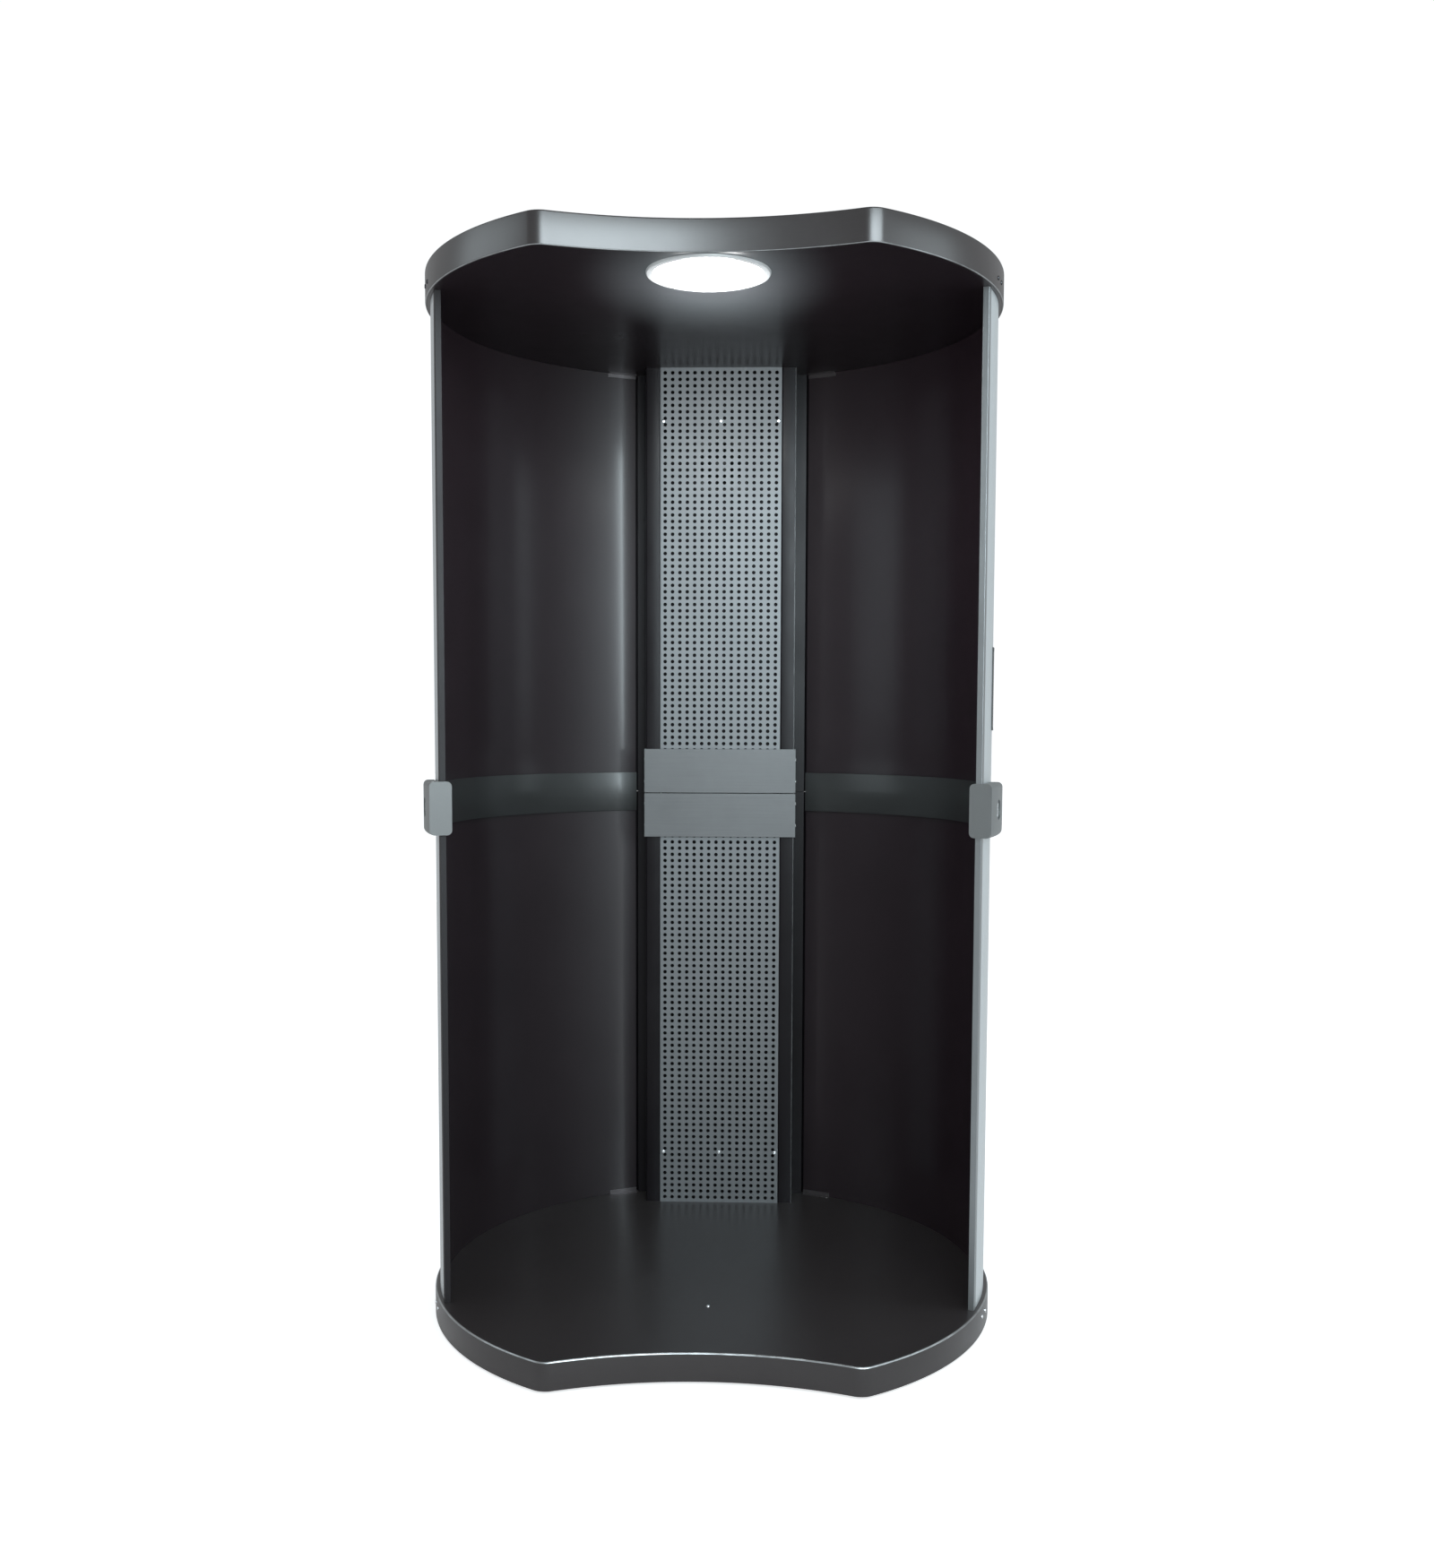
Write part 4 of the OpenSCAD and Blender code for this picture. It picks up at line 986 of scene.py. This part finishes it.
hub_top = FAN_DEPTH - 6
hub_profile = [(2.0, hub_top + 4), (2.0, hub_top), (HUB_R - 1.5, hub_top), (HUB_R, hub_top - 1.5)]
hub_profile += [(HUB_R, 5)]
hub_profile += [(HUB_R - 0.8, 3.6), (HUB_R - 2.5, 3), (9, 3), (8.5, 3.6), (2, 3.6)]
hub_points, hub_faces = lathe(hub_profile, 48)
blade_points, blade_faces = fan_blade()
parts = [(about_axle(hub_points), hub_faces)]
for i in range(FAN_BLADES):
    turn = 2 * math.pi * i / FAN_BLADES
    parts.append((about_axle(blade_points, turn, FAN_DEPTH / 2 - 2), blade_faces))
piece_for("fan_rotor", mesh_of("rotor", *joined(parts)))
print("fan rotor with", FAN_BLADES, "blades")

# %% [markdown]
# ## Spine posts
# A post is a square steel tube with rounded corners. It is made of two outlines, an outer and an
# inner one with as many points, joined upright. On the right posts the front corner that faces
# the right wall gets the bright edge paint: a painted highlight, one bright line along it.

# %% Posts
POST_WALL, POST_SOFT, CORNER_LEAN = 2.0, 3.2, 0.3


def rounded_section(x0, y0, x1, y1, r, steps=5):
    """A rectangle with rounded corners, anticlockwise, as (x, y) points."""
    points = []
    middles = ((x1 - r, y0 + r, -90), (x1 - r, y1 - r, 0), (x0 + r, y1 - r, 90), (x0 + r, y0 + r, 180))
    for cx, cy, first in middles:
        for i in range(steps + 1):
            t = math.radians(first + 90 * i / steps)
            points.append((cx + r * math.cos(t), cy + r * math.sin(t)))
    return points


def tube(outer_points, inner_points, z0, z1):
    """An upright tube between two outlines with as many points."""
    count = len(outer_points)
    both = outer_points + inner_points
    points = [(x, y, z) for z in (z0, z1) for x, y in both]
    faces = []
    for i in range(count):
        j = (i + 1) % count
        faces.append([i, j, 2 * count + j, 2 * count + i])
        faces.append([count + j, count + i, 3 * count + i, 3 * count + j])
        faces.append([j, i, count + i, count + j])
        faces.append([2 * count + i, 2 * count + j, 3 * count + j, 3 * count + i])
    return points, faces


def outer_front_corner(face):
    """True on the outer front corner of a right post, where the highlight is painted."""
    return face.center.x > 0 and face.normal.x > CORNER_LEAN and face.normal.y < -CORNER_LEAN


for node in [half + side + "_post" for half in ("lower", "upper") for side in ("_left", "_right")]:
    low_corner, high_corner = (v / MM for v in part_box(node))
    corners = (low_corner.x, low_corner.y, high_corner.x, high_corner.y)
    shrunk = [c + POST_WALL * step for c, step in zip(corners, (1, 1, -1, -1))]
    around = rounded_section(*corners, POST_SOFT)
    inside = rounded_section(*shrunk, POST_SOFT - POST_WALL)
    post = piece_for(node, mesh_of(node, *tube(around, inside, low_corner.z, high_corner.z)))
    # painted highlight: a bright line on the right posts' outer front corner
    second_finish(post, "highlight_edge_paint", outer_front_corner)
    print(node, "is", round(high_corner.z - low_corner.z, 1), "mm long")

# %% [markdown]
# ## Joint bands
# Inside the joint a satin band runs round each wall, from the clip to the spine. It is rolled from
# flat bar, so one section is swept round the booth's axis: its long face stays perfectly smooth,
# which matters because it mirrors the lamps as one level streak.

# %% Swept bands
BOARD_R, BAND_T, BAND_GAP, BAND_HALF, BAND_SOFT, BAND_CUT = 566.0, 5.5, 0.35, 46.5, 1.0, 0.3
BAND_FRONT, WALL_REAR = 68.84, 158.43


def swept(name, section, first, last, steps=64):
    """Sweeps a closed (radius, height) section round the axis, between two angles from the front."""
    points = []
    for i in range(steps + 1):
        points += [round_place(first + (last - first) * i / steps, r, z)[0] for r, z in section]
    return mesh_of(name, points, swept_faces(len(section), steps))


inner, outer = BOARD_R - BAND_T, BOARD_R - BAND_GAP
band_low, band_high = JOINT_Z - BAND_HALF, JOINT_Z + BAND_HALF
band_section = [(outer, band_low), (inner + BAND_SOFT, band_low)]
band_section += [(inner + BAND_CUT, band_low + BAND_CUT), (inner, band_low + BAND_SOFT)]
band_section += [(inner, band_high - BAND_SOFT), (inner + BAND_CUT, band_high - BAND_CUT)]
band_section += [(inner + BAND_SOFT, band_high), (outer, band_high)]
for side, sign in (("left", -1), ("right", 1)):
    node = side + "_splice_band"
    band_mesh = swept(node + "_piece", band_section, sign * BAND_FRONT, sign * WALL_REAR)
    piece_for(node, band_mesh)
print("bands swept from", BAND_FRONT, "to", WALL_REAR, "degrees")

# %% [markdown]
# ## Everything that keeps its drawn shape
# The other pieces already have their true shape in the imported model: curved boards and
# sheets, folded plates, clips, frames and blocks. Each gets its own edge rounding, from a hair on
# thin sheet to two millimetres on a moulded clip.

# %% Edge rounding of each remaining node
ROUNDING = {"left_edge_clip": 2.0, "right_edge_clip": 2.0, "left_clip_knob": 0.8, "right_clip_knob": 0.8}
ROUNDING.update({"delivery_chute": 0.7, "delivery_flap": 0.3, "fan_frame": 1.0, "switch_rocker": 0.8})
ROUNDING.update({"service_plate": 0.5, "power_inlet": 0.6, "switch_housing": 0.6, "led_driver": 1.5})
ROUNDING.update({"feet": 1.5, "light_housing": 0.6, "base_frame": 0.8, "cap_frame": 0.8})
SPINE_ROUNDING = {"joint_plate": 0.9, "back_plate": 0.4, "brackets": 0.4, "rear_cover": 0.5}
SPINE_ROUNDING.update({"post_plugs": 0.5, "cable": 0.0})
WALL_ROUNDING = {"wall": 0.6, "skin": 0.4, "trim": 0.5}
for half in ("lower", "upper"):
    ROUNDING.update({f"{half}_{part}": width for part, width in SPINE_ROUNDING.items()})
    for side in ("left", "right"):
        ROUNDING.update({f"{half}_{side}_{part}": width for part, width in WALL_ROUNDING.items()})
ROUNDING.update({"ceiling_panel": 0.4, "alignment_pins": 0.0})
for node, width in ROUNDING.items():
    finished_copy(node, width)
print(len(ROUNDING), "pieces rounded")

# %% [markdown]
# The left wall's edge strips take a dark paint in place of the satin aluminium of the right ones:
# painted shade on that edge. Rear covers and louvre blades are pale outside and dark inside the
# spine, so that no bright spot shows through the holes.


# %% Painted shade on the left strips, and dark insides
def line_inside(name, radius):
    """Gives the faces of a curved sheet that look inwards the spine's dark paint."""

    def looks_inwards(face):
        middle = Vector((face.center.x, face.center.y - AXIS_Y * MM, 0))
        return middle.length < radius * MM and face.normal.dot(middle) < 0

    second_finish(bpy.data.objects[name], "spine_black", looks_inwards)


# painted shade: both left trims swap their satin aluminium for the dark strip paint
for half in ("lower", "upper"):
    bpy.data.objects[half + "_left_trim_piece"].data.materials[0] = FINISHES["shade_edge_paint"]
for half in ("lower", "upper"):
    line_inside(half + "_rear_cover_piece", COVER_R - 1)
line_inside("rear_louvre_blades", COVER_R + 5)
print("dark insides on the rear covers and the louvre blades")

# %% [markdown]
# ## Floor, backdrop and light
# The booth stands on a plain pale floor in a bright studio. The floor and the backdrop are brighter
# to the eye than the light they cast, so that black stays black. Two white cards show only in
# glossy surfaces: a tall one in front on the right gives the boards their upright reflection, and
# a small one stands on the left. Two soft lamps, at the right side and at the front, light the
# matt surfaces. The booth's own lamp is the glowing cover, helped by one small lamp below it.


# %% Stage
FLOOR_HALF, FLOOR_DROP = 30000, 0.2
FLOOR_DIM, FLOOR_BRIGHT, SKY_COLOUR = grey(0.16), (0.70, 0.715, 0.72, 1), (0.965, 0.985, 1.0, 1)


def stage_floor():
    """A wide pale floor just under the booth."""
    corners = ((-1, -1), (1, -1), (1, 1), (-1, 1))
    points = [(x * FLOOR_HALF, y * FLOOR_HALF, -FLOOR_DROP) for x, y in corners]
    mesh = mesh_of("floor", points, [[0, 1, 2, 3]])
    floor = linked("studio_floor", mesh)
    paper = finish(
        "studio floor", (0.90, 0.91, 0.92), 0.85, bump=0.0, colour_play=0.01,
        constants={"Specular IOR Level": 0.1, "Emission Strength": 1.0},
    )
    n = Nodes(paper.node_tree)
    feed_glow(paper, n, n.node("ShaderNodeLightPath", out="Is Camera Ray"), FLOOR_DIM, FLOOR_BRIGHT)
    mesh.materials.append(paper)


def soft_lamp(name, place, target, size, power, shine_only=False):
    """A rectangular lamp; a shine-only one acts as a white card that shows in glossy surfaces."""
    lamp = bpy.data.lights.new(name, "AREA")
    lamp.shape, lamp.energy, lamp.color = "RECTANGLE", power, COOL
    lamp.size, lamp.size_y = size
    obj = linked(name, lamp)
    obj.location = place
    obj.rotation_euler = (Vector(target) - Vector(place)).to_track_quat("-Z", "Y").to_euler()
    obj.visible_diffuse = not shine_only


def studio_world(to_eye, on_things):
    """A white room for the eye that lights things more weakly, so that black stays black."""
    world = bpy.data.worlds.new("studio")
    bpy.context.scene.world = world
    n = emptied(world)
    seen = n.node("ShaderNodeLightPath", out="Is Camera Ray")
    strength = seen * (to_eye - on_things) + on_things
    sky = n.node("ShaderNodeBackground", {}, {"Color": SKY_COLOUR, "Strength": strength})
    n.node("ShaderNodeOutputWorld", {}, {"Surface": sky})


stage_floor()
studio_world(1.05, 0.48)
bpy.context.scene.view_settings.view_transform = "Standard"
print("floor and backdrop set")

# %% Lamps and cards
COOL = (0.82, 0.95, 1.0)
soft_lamp("tall card on the right", (1.4, -3.15, 2.25), (0, 0.1, 1.3), (3.1, 2.3), 280, True)
soft_lamp("card on the left", (-3.2, -0.4, 2.6), (0, 0, 1.9), (1.8, 1.5), 20, True)
soft_lamp("lamp at the side", (3.2, -0.6, 2.0), (0, 0, 1.4), (1.6, 2.0), 26)
soft_lamp("soft lamp at the front", (0.9, -3.4, 2.6), (0, 0.1, 1.1), (1.6, 1.2), 16)
booth_lamp = bpy.data.lights.new("booth lamp", "POINT")
booth_lamp.energy, booth_lamp.shadow_soft_size = 2.5, 0.05
lamp_object = linked("booth lamp", booth_lamp)
lamp_object.location = (0, (LIGHT_Y + 90) * MM, (CEILING_Z - 80) * MM)
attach(lamp_object, "upper_half")
print(len(bpy.data.lights), "lamps and cards")
